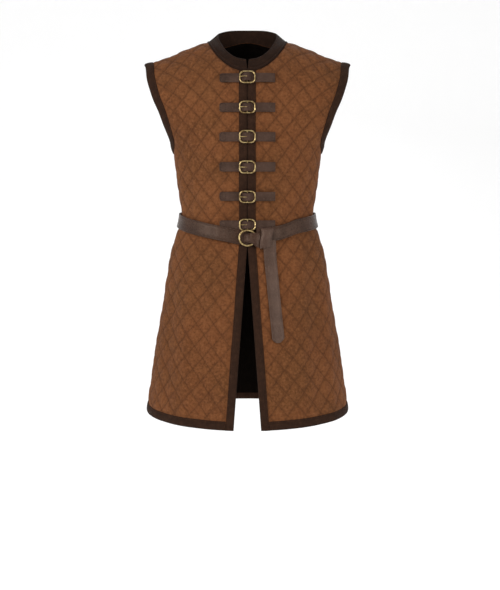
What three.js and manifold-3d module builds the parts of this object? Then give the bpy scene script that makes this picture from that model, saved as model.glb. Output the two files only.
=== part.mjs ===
import * as THREE from "three";
import { mergeVertices } from "three/addons/utils/BufferGeometryUtils.js";
import Module from "manifold-3d";

// Quilted gambeson vest in millimetres. +Z is up, the front faces -Y, the wearer's left is +X.
// The origin lies midway between the shoulders, level with the sides of the neck.

const wasm = await Module();
wasm.setup();

// ---- driving sizes ----
const shoulderRounding = 140; // drop over which the shoulder rolls into the chest
const shoulderFade = 240; // drop at which the slope of the shoulders has died out
const meanDepth = 104; // depth of the roll used to measure along the grain
const neckHalf = 91; // half width of the neck at the shoulder seam
const backNeckRise = 28; // the back of the neck stands higher than its sides

const diamondWide = 43;
const diamondTall = 52;
const channelThick = 3.2; // cloth and filling pressed together under a stitched line
const puffThick = 5.4; // cloth and filling in the middle of a diamond
const puffShare = 0.5; // share of the diamond that is raised to the full

const bindingWide = 20;
const bindingThick = 5.2;
const seamGap = 0.3;
const frontHemDown = 888;
const sideHemDown = 875;
const backHemDown = 881;
const slitTop = 470; // below this the two fronts part
const slitHalfAtHem = 31;

const buckleCount = 6;
const firstBuckleDown = 90;
const bucklePitch = 67;
const strapWide = 21.4;
const strapThick = 1.8;
const strapReach = 62.3; // from the centre front to each end of the closure
const strapBed = 6.7; // the straps lie on the quilting at this height over the inside
const frameHalfWide = 19;
const frameHalfTall = 13.6;
const frameCorner = 9.5;
const frameWire = 1.9;
const frameLevel = 12.7;
const barWire = 1.25;

const beltWide = 34;
const beltThick = 2.8;
const ringRadius = 17.8;
const ringWire = 2.1;
const ringDown = 456;
const ringLevel = 14.75;
const ringTilt = 0.13; // the top of the ring rides on the lowest buckle
const tailWide = 30.5;
const tailThick = 2.4;

// Level rings of the inside of the vest: half width, and depth in front of and behind the side line.
const bodyRows = [
  { down: 0, half: 262, front: 98, back: 104 },
  { down: 35, half: 271.5, front: 98, back: 109 },
  { down: 70, half: 270.5, front: 99.5, back: 113 },
  { down: 110, half: 259.5, front: 103, back: 116 },
  { down: 150, half: 239, front: 107, back: 117 },
  { down: 185, half: 218, front: 110, back: 116 },
  { down: 213, half: 197, front: 112, back: 113.5 },
  { down: 229, half: 184.5, front: 112.5, back: 112 },
  { down: 243, half: 176.5, front: 112.8, back: 110.3 },
  { down: 260, half: 171.5, front: 112.5, back: 108 },
  { down: 285, half: 167, front: 111.5, back: 104 },
  { down: 322, half: 163.5, front: 108, back: 97 },
  { down: 360, half: 158, front: 102.8, back: 91 },
  { down: 398, half: 153.3, front: 99.8, back: 87 },
  { down: 417, half: 154.7, front: 100.4, back: 87 },
  { down: 436, half: 159.5, front: 102.4, back: 88.8 },
  { down: 456, half: 166.8, front: 105.8, back: 91.6 },
  { down: 494, half: 178, front: 115, back: 98 },
  { down: 551, half: 188, front: 128, back: 107 },
  { down: 629, half: 200.4, front: 145, back: 119 },
  { down: 706, half: 214.5, front: 159, back: 131 },
  { down: 784, half: 226, front: 170, back: 143 },
  { down: 863, half: 237.4, front: 181, back: 155 },
  { down: 920, half: 243, front: 188, back: 162 },
];

// Height of the shoulder seam at a distance from the centre.
const shoulderRows = [
  { x: 0, rise: -5 },
  { x: 78, rise: -5 },
  { x: 91, rise: -6 },
  { x: 109, rise: -10.5 },
  { x: 132, rise: -19 },
  { x: 154, rise: -28 },
  { x: 175, rise: -37 },
  { x: 205, rise: -47 },
  { x: 238, rise: -55.5 },
  { x: 275, rise: -66 },
];

// Edge of the armhole: turn from the centre line round the ring, and drop, from underarm to shoulder.
const armholeRows = [
  { step: 0, turn: 90, down: 240 },
  { step: 1, turn: 82.5, down: 237.5 },
  { step: 2, turn: 75.5, down: 228 },
  { step: 3, turn: 68.5, down: 210 },
  { step: 4, turn: 62.5, down: 183 },
  { step: 5, turn: 58.5, down: 150 },
  { step: 6, turn: 56.4, down: 110 },
  { step: 7, turn: 56.6, down: 70 },
  { step: 8, turn: 59.2, down: 35 },
  { step: 9, turn: 63, down: 11 },
  { step: 10, turn: 67, down: 0 },
];

// Neck seam on each face, from the centre line to the shoulder seam.
const neckRows = {
  front: [
    { step: 0, x: 0, down: 71 },
    { step: 1, x: 18, down: 69.5 },
    { step: 2, x: 40, down: 60 },
    { step: 3, x: 62, down: 42.5 },
    { step: 4, x: 78, down: 23 },
    { step: 5, x: 87.5, down: 7 },
    { step: 6, x: neckHalf, down: 0 },
  ],
  back: [
    { step: 0, x: 0, down: 20 },
    { step: 1, x: 25, down: 19 },
    { step: 2, x: 50, down: 15.5 },
    { step: 3, x: 70, down: 10 },
    { step: 4, x: 84, down: 3.6 },
    { step: 5, x: 89.5, down: 0.7 },
    { step: 6, x: neckHalf, down: 0 },
  ],
};

// Top edge of the collar from the centre front to the centre back.
const collarTopRows = [
  { step: 0, x: 3.2, y: -70, z: -48 },
  { step: 1, x: 26.6, y: -65.8, z: -43 },
  { step: 2, x: 45.8, y: -54.2, z: -30 },
  { step: 3, x: 59, y: -33, z: -12 },
  { step: 4, x: 66.5, y: -6, z: 6 },
  { step: 5, x: 64, y: 22, z: 20 },
  { step: 6, x: 46, y: 42, z: 28 },
  { step: 7, x: 24, y: 51, z: 31 },
  { step: 8, x: 0, y: 54, z: 32 },
];

// Centre line of the belt: turn from the centre front (wearer's left positive), drop, height over the inside.
const beltRows = [
  { turn: -190, down: 412, out: 6.6 },
  { turn: -90, down: 418, out: 7.2 },
  { turn: -80, down: 420.5, out: 6.8 },
  { turn: -45, down: 430, out: 6.7 },
  { turn: -31, down: 437, out: 6.9 },
  { turn: -25, down: 441, out: 9.1 },
  { turn: -20, down: 444.5, out: 9.4 },
  { turn: -13, down: 450.4, out: 9.4 },
  { turn: -10, down: 454.4, out: 8.6 },
  { turn: -6, down: 456, out: 6.2 },
  { turn: 2, down: 456.5, out: 6 },
];
const beltRightRows = [
  { turn: 12, down: 449, out: 10.9 },
  { turn: 24, down: 442, out: 10.9 },
  { turn: 33, down: 436.5, out: 7.2 },
  { turn: 45, down: 430, out: 6.7 },
  { turn: 80, down: 420.5, out: 6.8 },
  { turn: 90, down: 418, out: 7.2 },
  { turn: 170, down: 412, out: 6.6 },
];

// Hanging end of the belt.
const tailRows = [
  { down: 462, x: 47.2, out: 14.6 },
  { down: 470, x: 47.9, out: 14 },
  { down: 480, x: 48.8, out: 11 },
  { down: 493, x: 50.2, out: 7.6 },
  { down: 512, x: 52, out: 6.3 },
  { down: 560, x: 57, out: 6.2 },
  { down: 610, x: 62, out: 6.2 },
  { down: 655, x: 66.5, out: 6.2 },
  { down: 681, x: 69, out: 6.2 },
];
const tailPoint = 11;

// ---- materials ----
function paint(color, roughness, metalness) {
  return new THREE.MeshStandardMaterial({ color, roughness, metalness });
}
const materials = {
  cloth: paint(0x7a4a2c, 0.92, 0),
  trim: paint(0x35251f, 0.9, 0),
  strapLeather: paint(0x564840, 0.62, 0),
  beltLeather: paint(0x4d3b32, 0.55, 0),
  brass: paint(0xb99a5c, 0.35, 1),
};

const vest = new THREE.Group();
vest.name = "gambeson_vest";

function addPiece(name, geometry, material) {
  const mesh = new THREE.Mesh(geometry, material.clone());
  mesh.name = name;
  vest.add(mesh);
}

// ---- reading the tables ----
// Smooth curve through a column of a table.
function read(rows, key, column, at) {
  const last = rows.length - 1;
  if (at <= rows[0][key]) return rows[0][column];
  if (at >= rows[last][key]) return rows[last][column];
  let i = 0;
  while (at > rows[i + 1][key]) i += 1;
  const slope = (j) => {
    const before = rows[Math.max(j - 1, 0)];
    const after = rows[Math.min(j + 1, last)];
    return (after[column] - before[column]) / (after[key] - before[key]);
  };
  const span = rows[i + 1][key] - rows[i][key];
  const t = (at - rows[i][key]) / span;
  const rise = t * t * (3 - 2 * t);
  const lead = t * (1 - t) * (1 - t) * span * slope(i);
  const trail = t * t * (t - 1) * span * slope(i + 1);
  return rows[i][column] + rise * (rows[i + 1][column] - rows[i][column]) + lead + trail;
}

function smooth(t) {
  const clamped = Math.min(Math.max(t, 0), 1);
  return clamped * clamped * (3 - 2 * clamped);
}

// ---- the surface ----
// Distance along the grain from the shoulder seam, measured over the roll of the shoulder.
const rollSteps = 90;
const rollTable = [0];
for (let i = 1; i <= rollSteps; i += 1) {
  const before = ((i - 1) / rollSteps) * Math.PI * 0.5;
  const after = (i / rollSteps) * Math.PI * 0.5;
  const fall = shoulderRounding * (Math.cos(before) - Math.cos(after));
  const forward = meanDepth * (Math.sin(after) - Math.sin(before));
  rollTable.push(rollTable[i - 1] + Math.hypot(fall, forward));
}
const rollLength = rollTable[rollSteps];

function levelAt(along) {
  if (along >= rollLength) return { down: shoulderRounding + along - rollLength, round: 1 };
  let i = 0;
  while (i < rollSteps - 1 && rollTable[i + 1] < along) i += 1;
  const share = (along - rollTable[i]) / (rollTable[i + 1] - rollTable[i]);
  const turn = ((i + share) / rollSteps) * Math.PI * 0.5;
  return { down: shoulderRounding * (1 - Math.cos(turn)), round: Math.sin(turn) };
}

function alongAt(down) {
  if (down >= shoulderRounding) return rollLength + down - shoulderRounding;
  const place = (Math.acos(1 - down / shoulderRounding) / (Math.PI * 0.5)) * rollSteps;
  const i = Math.min(Math.floor(place), rollSteps - 1);
  return rollTable[i] + (place - i) * (rollTable[i + 1] - rollTable[i]);
}

// A level ring of one face with its lengths of arc from the centre line to the side.
const ringCache = new Map();
const arcSteps = 72;

function ringAt(face, along) {
  const key = face + along.toFixed(4);
  if (ringCache.has(key)) return ringCache.get(key);
  const { down, round } = levelAt(Math.max(along, 0));
  const half = read(bodyRows, "down", "half", down);
  const deep = read(bodyRows, "down", face, down) * round;
  const arcs = [0];
  for (let i = 1; i <= arcSteps; i += 1) {
    const before = ((i - 1) / arcSteps) * Math.PI * 0.5;
    const after = (i / arcSteps) * Math.PI * 0.5;
    const outward = half * (Math.sin(after) - Math.sin(before));
    const inward = deep * (Math.cos(before) - Math.cos(after));
    arcs.push(arcs[i - 1] + Math.hypot(outward, inward));
  }
  const ring = { down, half, deep, arcs };
  ringCache.set(key, ring);
  return ring;
}

function arcTo(ring, turn) {
  const place = Math.min((turn / (Math.PI * 0.5)) * arcSteps, arcSteps);
  const i = Math.min(Math.floor(place), arcSteps - 1);
  return ring.arcs[i] + (place - i) * (ring.arcs[i + 1] - ring.arcs[i]);
}

function turnTo(ring, across) {
  const length = Math.abs(across);
  let low = 0;
  let high = arcSteps;
  while (high - low > 1) {
    const middle = (low + high) >> 1;
    if (ring.arcs[middle] <= length) low = middle;
    else high = middle;
  }
  const share = (length - ring.arcs[low]) / (ring.arcs[low + 1] - ring.arcs[low]);
  return ((low + Math.min(share, 1)) / arcSteps) * Math.PI * 0.5 * Math.sign(across || 1);
}

function sideArc(face, along) {
  return ringAt(face, along).arcs[arcSteps];
}

function shoulderHeight(face, x) {
  const out = Math.abs(x);
  const rise = read(shoulderRows, "x", "rise", out);
  if (face === "front" || out >= neckHalf) return rise;
  return rise + backNeckRise * 0.5 * (1 + Math.cos((Math.PI * out) / neckHalf));
}

function onInside(face, across, along) {
  const ring = ringAt(face, along);
  const turn = turnTo(ring, across);
  const x = ring.half * Math.sin(turn);
  const y = ring.deep * Math.cos(turn) * (face === "front" ? -1 : 1);
  const fade = 1 - smooth(ring.down / shoulderFade);
  return new THREE.Vector3(x, y, shoulderHeight(face, x) * fade - ring.down);
}

// Point over the inside of the vest: arc from the centre line, distance along the grain, height off the inside.
function place(face, across, along, out) {
  const step = 0.6;
  const limit = sideArc(face, along);
  const right = onInside(face, Math.min(across + step, limit), along);
  const left = onInside(face, Math.max(across - step, -limit), along);
  const low = onInside(face, clampArc(face, across, along + step), along + step);
  const high = onInside(face, clampArc(face, across, along - step), Math.max(along - step, 0));
  const normal = right.sub(left).cross(low.sub(high)).normalize();
  if (face === "front") normal.negate();
  return onInside(face, across, along).addScaledVector(normal, out);
}

function clampArc(face, across, along) {
  const limit = sideArc(face, Math.max(along, 0));
  return Math.min(Math.max(across, -limit), limit);
}

// Half the gap between the two fronts below the belt.
function slitHalf(along) {
  const { down } = levelAt(along);
  return (slitHalfAtHem * Math.max(down - slitTop, 0)) / (frontHemDown - slitTop);
}

function onFront(across, along, out) {
  return place("front", across + slitHalf(along), along, out);
}

function onBack(across, along, out) {
  return place("back", across, along, out);
}

// ---- solids ----
function facingOut(geometry) {
  const position = geometry.getAttribute("position");
  const index = geometry.getIndex();
  const corner = [0, 1, 2].map(() => new THREE.Vector3());
  let volume = 0;
  for (let i = 0; i < index.count; i += 3) {
    corner.forEach((v, k) => v.fromBufferAttribute(position, index.getX(i + k)));
    volume += corner[0].dot(corner[1].clone().cross(corner[2]));
  }
  if (volume < 0) {
    for (let i = 0; i < index.count; i += 3) {
      const first = index.getX(i);
      index.setX(i, index.getX(i + 1));
      index.setX(i + 1, first);
    }
  }
  geometry.computeVertexNormals();
  return geometry;
}

function geometryOf(points, triangles) {
  const geometry = new THREE.BufferGeometry();
  geometry.setAttribute("position", new THREE.Float32BufferAttribute(points.flat(), 3));
  geometry.setIndex(triangles.flat());
  return facingOut(geometry);
}

function solidOf(geometry) {
  const bare = new THREE.BufferGeometry();
  const source = geometry.index ? geometry.toNonIndexed() : geometry;
  bare.setAttribute("position", source.getAttribute("position"));
  const merged = mergeVertices(bare, 1e-4);
  return new wasm.Manifold(
    new wasm.Mesh({
      numProp: 3,
      vertProperties: merged.attributes.position.array,
      triVerts: new Uint32Array(merged.index.array),
    }),
  );
}

// Lays a flat solid, drawn in (across, along, out), on the vest.
function lay(solid, map) {
  const mesh = solid.getMesh();
  const points = [];
  for (let i = 0; i < mesh.vertProperties.length; i += mesh.numProp) {
    const flat = mesh.vertProperties.slice(i, i + 3);
    points.push(map(flat[0], flat[1], flat[2]).toArray());
  }
  return geometryOf(points, Array.from(mesh.triVerts));
}

function mirrored(geometry) {
  const copy = geometry.clone();
  copy.applyMatrix4(new THREE.Matrix4().makeScale(-1, 1, 1));
  return facingOut(copy);
}

// Joins equal sections, each a ring of points, into one closed solid.
function skin(sections, closed) {
  const size = sections[0].length;
  const points = sections.flat().map((v) => v.toArray());
  const triangles = [];
  const spans = closed ? sections.length : sections.length - 1;
  for (let s = 0; s < spans; s += 1) {
    const here = s * size;
    const next = ((s + 1) % sections.length) * size;
    for (let k = 0; k < size; k += 1) {
      const after = (k + 1) % size;
      triangles.push([here + k, next + k, next + after]);
      triangles.push([here + k, next + after, here + after]);
    }
  }
  if (!closed) {
    const end = (sections.length - 1) * size;
    for (let k = 1; k < size - 1; k += 1) {
      triangles.push([0, k, k + 1]);
      triangles.push([end, end + k + 1, end + k]);
    }
  }
  return geometryOf(points, triangles);
}

// Flat ribbon in (across, along, out): centre points, the direction of its width, widths and thickness.
function ribbon(centres, sideways, widths, thick) {
  const sections = centres.map((centre, i) => {
    const before = centres[Math.max(i - 1, 0)];
    const after = centres[Math.min(i + 1, centres.length - 1)];
    const run = after.clone().sub(before).normalize();
    const up = run.cross(sideways).normalize().multiplyScalar(thick / 2);
    const side = sideways.clone().multiplyScalar(widths[i] / 2);
    return [
      centre.clone().add(side).add(up),
      centre.clone().sub(side).add(up),
      centre.clone().sub(side).sub(up),
      centre.clone().add(side).sub(up),
    ];
  });
  return skin(sections, false);
}

function block(centre, size) {
  const geometry = new THREE.BoxGeometry(size.x, size.y, size.z);
  geometry.translate(centre.x, centre.y, centre.z);
  return solidOf(geometry);
}

// ---- edges, as lists of (across, along) ----
function curve(rows, columns, count) {
  const last = rows[rows.length - 1].step;
  const points = [];
  for (let i = 0; i <= count; i += 1) {
    const at = (last * i) / count;
    points.push(columns.map((column) => read(rows, "step", column, at)));
  }
  return points;
}

function armholeEdge(face, count) {
  return curve(armholeRows, ["turn", "down"], count).map(([turn, down]) => {
    const along = alongAt(Math.max(down, 0));
    const ring = ringAt(face, along);
    return new THREE.Vector2(arcTo(ring, THREE.MathUtils.degToRad(turn)), along);
  });
}

function neckEdge(face, count) {
  return curve(neckRows[face], ["x", "down"], count).map(([x, down]) => {
    const along = alongAt(Math.max(down, 0));
    const ring = ringAt(face, along);
    return new THREE.Vector2(arcTo(ring, Math.asin(x / ring.half)), along);
  });
}

function hemDown(face, across) {
  const middle = face === "front" ? frontHemDown : backHemDown;
  const share = Math.min(Math.abs(across) / sideArc(face, alongAt(sideHemDown)), 1);
  return middle + (sideHemDown - middle) * share * share;
}

// The edge moved into the cloth. The ends keep the direction of the seam that they lie on.
function inset(edge, distance, startWay, endWay) {
  return edge.map((point, i) => {
    if (i === 0) return point.clone().addScaledVector(startWay, distance);
    if (i === edge.length - 1) return point.clone().addScaledVector(endWay, distance);
    const run = edge[i + 1].clone().sub(edge[i - 1]).normalize();
    const way = new THREE.Vector2(-run.y, run.x);
    if (way.dot(startWay.clone().add(endWay)) < 0) way.negate();
    return point.clone().addScaledVector(way, distance);
  });
}

const inward = new THREE.Vector2(-1, 0);
const outward = new THREE.Vector2(1, 0);
const downward = new THREE.Vector2(0, 1);

// ---- quilted cloth ----
function quiltedPlate(fromAcross, toAcross, toAlong) {
  const points = [];
  const triangles = [];
  const found = new Map();
  const edges = new Map();
  const point = (across, along, out) => {
    const key = [across, along, out].map((v) => v.toFixed(3)).join();
    if (!found.has(key)) {
      found.set(key, points.length);
      points.push([across, along, out]);
    }
    return found.get(key);
  };
  const wide = diamondWide / 2;
  const tall = diamondTall / 2;
  for (let j = -1; j * tall < toAlong + diamondTall; j += 1) {
    for (let i = Math.floor(fromAcross / wide) - 1; i * wide < toAcross + diamondWide; i += 1) {
      if ((i + j) % 2 === 0) continue;
      const corners = [
        [i * wide + wide, j * tall],
        [i * wide, j * tall + tall],
        [i * wide - wide, j * tall],
        [i * wide, j * tall - tall],
      ];
      const rim = corners.map(([a, b]) => point(a, b, channelThick));
      const floor = corners.map(([a, b]) => point(a, b, 0));
      const crown = corners.map(([a, b]) =>
        point(
          i * wide + (a - i * wide) * puffShare,
          j * tall + (b - j * tall) * puffShare,
          puffThick,
        ),
      );
      triangles.push([crown[0], crown[1], crown[3]], [crown[1], crown[2], crown[3]]);
      triangles.push([floor[0], floor[3], floor[1]], [floor[1], floor[3], floor[2]]);
      rim.forEach((from, k) => {
        const next = (k + 1) % 4;
        triangles.push([from, rim[next], crown[next]], [from, crown[next], crown[k]]);
        const key = Math.min(from, rim[next]) + "_" + Math.max(from, rim[next]);
        const wall = [
          [from, floor[k], floor[next]],
          [from, floor[next], rim[next]],
        ];
        if (edges.has(key)) edges.delete(key);
        else edges.set(key, wall);
      });
    }
  }
  edges.forEach((wall) => triangles.push(...wall));
  return solidOf(geometryOf(points, triangles));
}

function prism(outline) {
  const shape = new THREE.Shape(outline);
  const geometry = new THREE.ExtrudeGeometry(shape, { depth: 20, bevelEnabled: false });
  geometry.translate(0, 0, -5);
  return solidOf(geometry);
}

const fit = bindingWide + seamGap + 0.25;
const sideStart = alongAt(armholeRows[0].down + fit + seamGap);
const hemSteps = 16;
const armholeSteps = 15;

function sideSeam(face, from, to, count) {
  const points = [];
  for (let i = 0; i <= count; i += 1) {
    const along = from + ((to - from) * i) / count;
    points.push(new THREE.Vector2(sideArc(face, along) - seamGap / 2, along));
  }
  return points;
}

function hemLine(face, from, to, lift, count) {
  const points = [];
  for (let i = 0; i <= count; i += 1) {
    const across = from + ((to - from) * i) / count;
    points.push(new THREE.Vector2(across, alongAt(hemDown(face, across) - lift)));
  }
  return points;
}

function outlineFromEdges(face, fromAcross) {
  const neck = inset(neckEdge(face, 18), seamGap, downward, outward);
  const armhole = inset(armholeEdge(face, armholeSteps), fit + seamGap, downward, inward);
  const kept = neck.filter((point) => point.x > fromAcross + 2);
  kept[kept.length - 1].y = seamGap / 2;
  armhole[armhole.length - 1].y = seamGap / 2;
  armhole[0].x = sideArc(face, sideStart) - seamGap / 2;
  const hemSide = sideArc(face, alongAt(sideHemDown - fit)) - seamGap / 2;
  const hemAlong = alongAt(sideHemDown - fit);
  const side = sideSeam(face, sideStart, hemAlong, 24);
  side.shift();
  const slit = face === "front" ? slitHalf(alongAt(frontHemDown - fit)) : 0;
  const hem = hemLine(face, hemSide, fromAcross + slit, fit, hemSteps);
  hem.shift();
  return { neck, kept, armhole: armhole.reverse(), side, hem };
}

function neckAlong(neck, across) {
  let i = 0;
  while (i < neck.length - 2 && neck[i + 1].x < across) i += 1;
  const share = (across - neck[i].x) / (neck[i + 1].x - neck[i].x);
  return neck[i].y + share * (neck[i + 1].y - neck[i].y);
}

function buildFronts() {
  const cut = outlineFromEdges("front", fit);
  const start = new THREE.Vector2(fit, neckAlong(cut.neck, fit));
  const outline = [start, ...cut.kept, ...cut.armhole, ...cut.side, ...cut.hem];
  outline.forEach((point) => {
    point.x -= slitHalf(point.y);
  });
  const plate = quiltedPlate(0, 400, 1000);
  const front = lay(plate.intersect(prism(outline)), onFront);
  addPiece("front_left", front, materials.cloth);
  addPiece("front_right", mirrored(front), materials.cloth);
}

function buildBack() {
  const cut = outlineFromEdges("back", 0);
  const half = [...cut.kept, ...cut.armhole, ...cut.side, ...cut.hem];
  const middle = new THREE.Vector2(0, cut.neck[0].y);
  half.pop();
  const other = half.map((point) => new THREE.Vector2(-point.x, point.y)).reverse();
  const foot = new THREE.Vector2(0, alongAt(backHemDown - fit));
  const outline = [middle, ...half, foot, ...other];
  const plate = quiltedPlate(-400, 400, 1000);
  addPiece("back", lay(plate.intersect(prism(outline)), onBack), materials.cloth);
}

// ---- bindings ----
// Section of a binding: share of its width, height over the inside.
const bindingProfile = [
  [0, 0],
  [0, bindingThick - 1.4],
  [0.09, bindingThick],
  [0.91, bindingThick],
  [1, bindingThick - 1.4],
  [1, 0],
];

// The front edge has a middle line too, so that its top follows the neck.
const frontEdgeProfile = [
  [0.5, 0],
  ...bindingProfile.slice(0, 3),
  [0.5, bindingThick],
  ...bindingProfile.slice(3),
];

function bindingSection(from, to, map) {
  return bindingProfile.map(([share, out]) => {
    const at = from.clone().lerp(to, share);
    return map(at.x, at.y, out);
  });
}

function buildArmholeBindings() {
  const sections = [];
  const faces = [
    ["front", 0],
    ["back", 1],
  ];
  faces.forEach(([face, skipped]) => {
    const edge = armholeEdge(face, armholeSteps);
    const inner = inset(edge, bindingWide, downward, inward);
    const rows = edge.map((point, i) =>
      bindingSection(point, inner[i], (a, b, out) => {
        return place(face, clampArc(face, a, b), b, out);
      }),
    );
    if (skipped) {
      rows.reverse();
      rows.shift();
      rows.pop();
    }
    sections.push(...rows);
  });
  const binding = skin(sections, true);
  addPiece("armhole_binding_left", binding, materials.trim);
  addPiece("armhole_binding_right", mirrored(binding), materials.trim);
}

function buildFrontEdgeBindings() {
  const neck = inset(neckEdge("front", 18), seamGap, downward, outward);
  const foot = alongAt(frontHemDown);
  const count = 23;
  const sections = [];
  for (let i = 0; i <= count; i += 1) {
    sections.push(
      frontEdgeProfile.map(([share, out]) => {
        const across = seamGap / 2 + (bindingWide - seamGap / 2) * share;
        const top = neckAlong(neck, across);
        return onFront(across, top + ((foot - top) * i) / count, out);
      }),
    );
  }
  const binding = skin(sections, false);
  addPiece("front_edge_binding_left", binding, materials.trim);
  addPiece("front_edge_binding_right", mirrored(binding), materials.trim);
}

function buildHemBindings() {
  const sideFoot = alongAt(sideHemDown);
  const frontSide = sideArc("front", sideFoot) - seamGap / 2;
  const count = 15;
  const hemSections = (face, from, to, spans) => {
    const foot = hemLine(face, from, to, 0, spans);
    const top = hemLine(face, from, to, bindingWide, spans);
    return foot.map((point, i) => {
      const limit = sideArc(face, top[i].y) - seamGap / 2;
      top[i].x = Math.min(Math.max(top[i].x, -limit), limit);
      if (face === "front" && i === 0) {
        point.x = fit + slitHalf(point.y);
        top[i].x = fit + slitHalf(top[i].y);
      }
      return bindingSection(point, top[i], (a, b, out) => place(face, a, b, out));
    });
  };
  const front = skin(hemSections("front", fit + slitHalfAtHem, frontSide, count), false);
  addPiece("hem_binding_front_left", front, materials.trim);
  addPiece("hem_binding_front_right", mirrored(front), materials.trim);
  const backSide = sideArc("back", sideFoot) - seamGap / 2;
  const back = skin(hemSections("back", -backSide, backSide, 2 * count), false);
  addPiece("hem_binding_back", back, materials.trim);
}

function buildCollar() {
  const spans = 10;
  const seam = [
    ...neckEdge("front", spans).map((at) => ["front", at]),
    ...neckEdge("back", spans)
      .reverse()
      .slice(1)
      .map((at) => ["back", at]),
  ];
  const half = seam.map(([face, at], i) => {
    const step = (8 * i) / (seam.length - 1);
    const read3 = (column) => read(collarTopRows, "step", column, step);
    const top = new THREE.Vector3(read3("x"), read3("y"), read3("z"));
    const across = i === 0 ? seamGap / 2 : at.x;
    const low = place(face, across, at.y, 0);
    const lowOut = place(face, across, at.y, bindingThick);
    const out = lowOut.clone().sub(low).normalize();
    const rise = top.clone().sub(low).normalize();
    const away = out.addScaledVector(rise, -out.dot(rise)).normalize();
    const middle = low.clone().lerp(top, 0.55).addScaledVector(away, 4.6);
    const shoulder = top.clone().addScaledVector(away, 3.4).addScaledVector(rise, -1.4);
    const crown = top.clone().addScaledVector(away, 1.8);
    return [low, lowOut, middle, shoulder, crown, top.clone().addScaledVector(rise, -1)];
  });
  const flip = (section) => section.map((v) => new THREE.Vector3(-v.x, v.y, v.z));
  const sections = [...half.slice(0, -1), half[half.length - 1], ...half.slice(0, -1).reverse().map(flip)];
  addPiece("collar", skin(sections, false), materials.trim);
}

// ---- closures, drawn flat round (0, 0) and laid on the front ----
function flatPath(rows) {
  return rows.map(([across, out]) => new THREE.Vector3(across, 0, out));
}

const alongWay = new THREE.Vector3(0, 1, 0);
const slot = () => block(new THREE.Vector3(-3, 0, 12), new THREE.Vector3(13, 4.4, 14));

function tongueStrap() {
  const low = strapBed + strapThick / 2;
  const high = low + strapThick + 0.3;
  const over = frameLevel + barWire + 0.7 + strapThick + 0.4 + strapThick / 2;
  const path = flatPath([
    [-strapReach, low],
    [-strapReach + 3, low],
    [-40, low],
    [-20, low + 0.1],
    [-11.5, low + 2.4],
    [-5, over - 1.4],
    [0, over],
    [5, over - 1.4],
    [11, high + 0.9],
    [18, high],
    [32, high],
    [47, high - 0.1],
    [strapReach, low + 0.4],
  ]);
  const widths = path.map(() => strapWide);
  widths[0] = strapWide - 5;
  return solidOf(ribbon(path, alongWay, widths, strapThick)).subtract(slot());
}

function baseStrap() {
  const low = strapBed + strapThick / 2;
  const grip = barWire + 0.7 + strapThick / 2;
  const rows = [
    [46, low],
    [24, low],
    [5, low + 0.6],
  ];
  for (let turn = -90; turn >= -300; turn -= 52) {
    const angle = THREE.MathUtils.degToRad(turn);
    rows.push([grip * Math.cos(angle), frameLevel + grip * Math.sin(angle)]);
  }
  const path = flatPath(rows);
  const widths = path.map(() => strapWide - 1);
  return solidOf(ribbon(path, alongWay, widths, strapThick)).subtract(slot());
}

// Closed ring of round wire along a path.
function wireRing(path, radius, sides) {
  const sections = path.map((centre, i) => {
    const before = path[(i + path.length - 1) % path.length];
    const after = path[(i + 1) % path.length];
    const run = after.clone().sub(before).normalize();
    const up = new THREE.Vector3(0, 0, 1);
    const side = run.clone().cross(up).normalize();
    up.crossVectors(side, run).normalize();
    const section = [];
    for (let k = 0; k < sides; k += 1) {
      const angle = (k / sides) * Math.PI * 2;
      const point = centre.clone().addScaledVector(side, radius * Math.cos(angle));
      section.push(point.addScaledVector(up, radius * Math.sin(angle)));
    }
    return section;
  });
  return skin(sections, true);
}

function buckleFrame() {
  const path = [];
  const perCorner = 4;
  const corners = [
    [1, 1, 0],
    [-1, 1, 90],
    [-1, -1, 180],
    [1, -1, 270],
  ];
  corners.forEach(([sx, sy, from]) => {
    for (let k = 0; k < perCorner; k += 1) {
      const angle = THREE.MathUtils.degToRad(from + (90 * k) / (perCorner - 1));
      path.push(
        new THREE.Vector3(
          sx * (frameHalfWide - frameCorner) + frameCorner * Math.cos(angle),
          sy * (frameHalfTall - frameCorner) + frameCorner * Math.sin(angle),
          frameLevel,
        ),
      );
    }
  });
  const bar = new THREE.CylinderGeometry(barWire, barWire, 2 * frameHalfTall, 5);
  bar.translate(0, 0, frameLevel);
  return solidOf(wireRing(path, frameWire, 5)).add(solidOf(bar));
}

function buckleProng() {
  const grip = barWire + 0.55 + 0.8;
  const rows = [];
  for (let turn = -102; turn <= 90; turn += 48) {
    const angle = THREE.MathUtils.degToRad(turn);
    rows.push([grip * Math.cos(angle), frameLevel + grip * Math.sin(angle)]);
  }
  const rest = frameLevel + frameWire + 0.3 + 0.8;
  rows.push([-8, rest - 0.5], [-frameHalfWide + 3, rest + 0.1], [-frameHalfWide - 1.5, rest]);
  const path = flatPath(rows);
  const widths = path.map(() => 3.2);
  widths[widths.length - 1] = 1.8;
  return solidOf(ribbon(path, alongWay, widths, 1.6));
}

function buildClosures() {
  const pieces = [
    ["strap", tongueStrap(), materials.strapLeather],
    ["strap_base", baseStrap(), materials.strapLeather],
    ["buckle_frame", buckleFrame(), materials.brass],
    ["buckle_prong", buckleProng(), materials.brass],
  ];
  for (let k = 0; k < buckleCount; k += 1) {
    const centre = alongAt(firstBuckleDown + k * bucklePitch);
    pieces.forEach(([name, flat, material]) => {
      const laid = lay(flat, (across, along, out) => place("front", across, centre + along, out));
      addPiece(name + "_" + (k + 1), laid, material);
    });
  }
}

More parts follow.
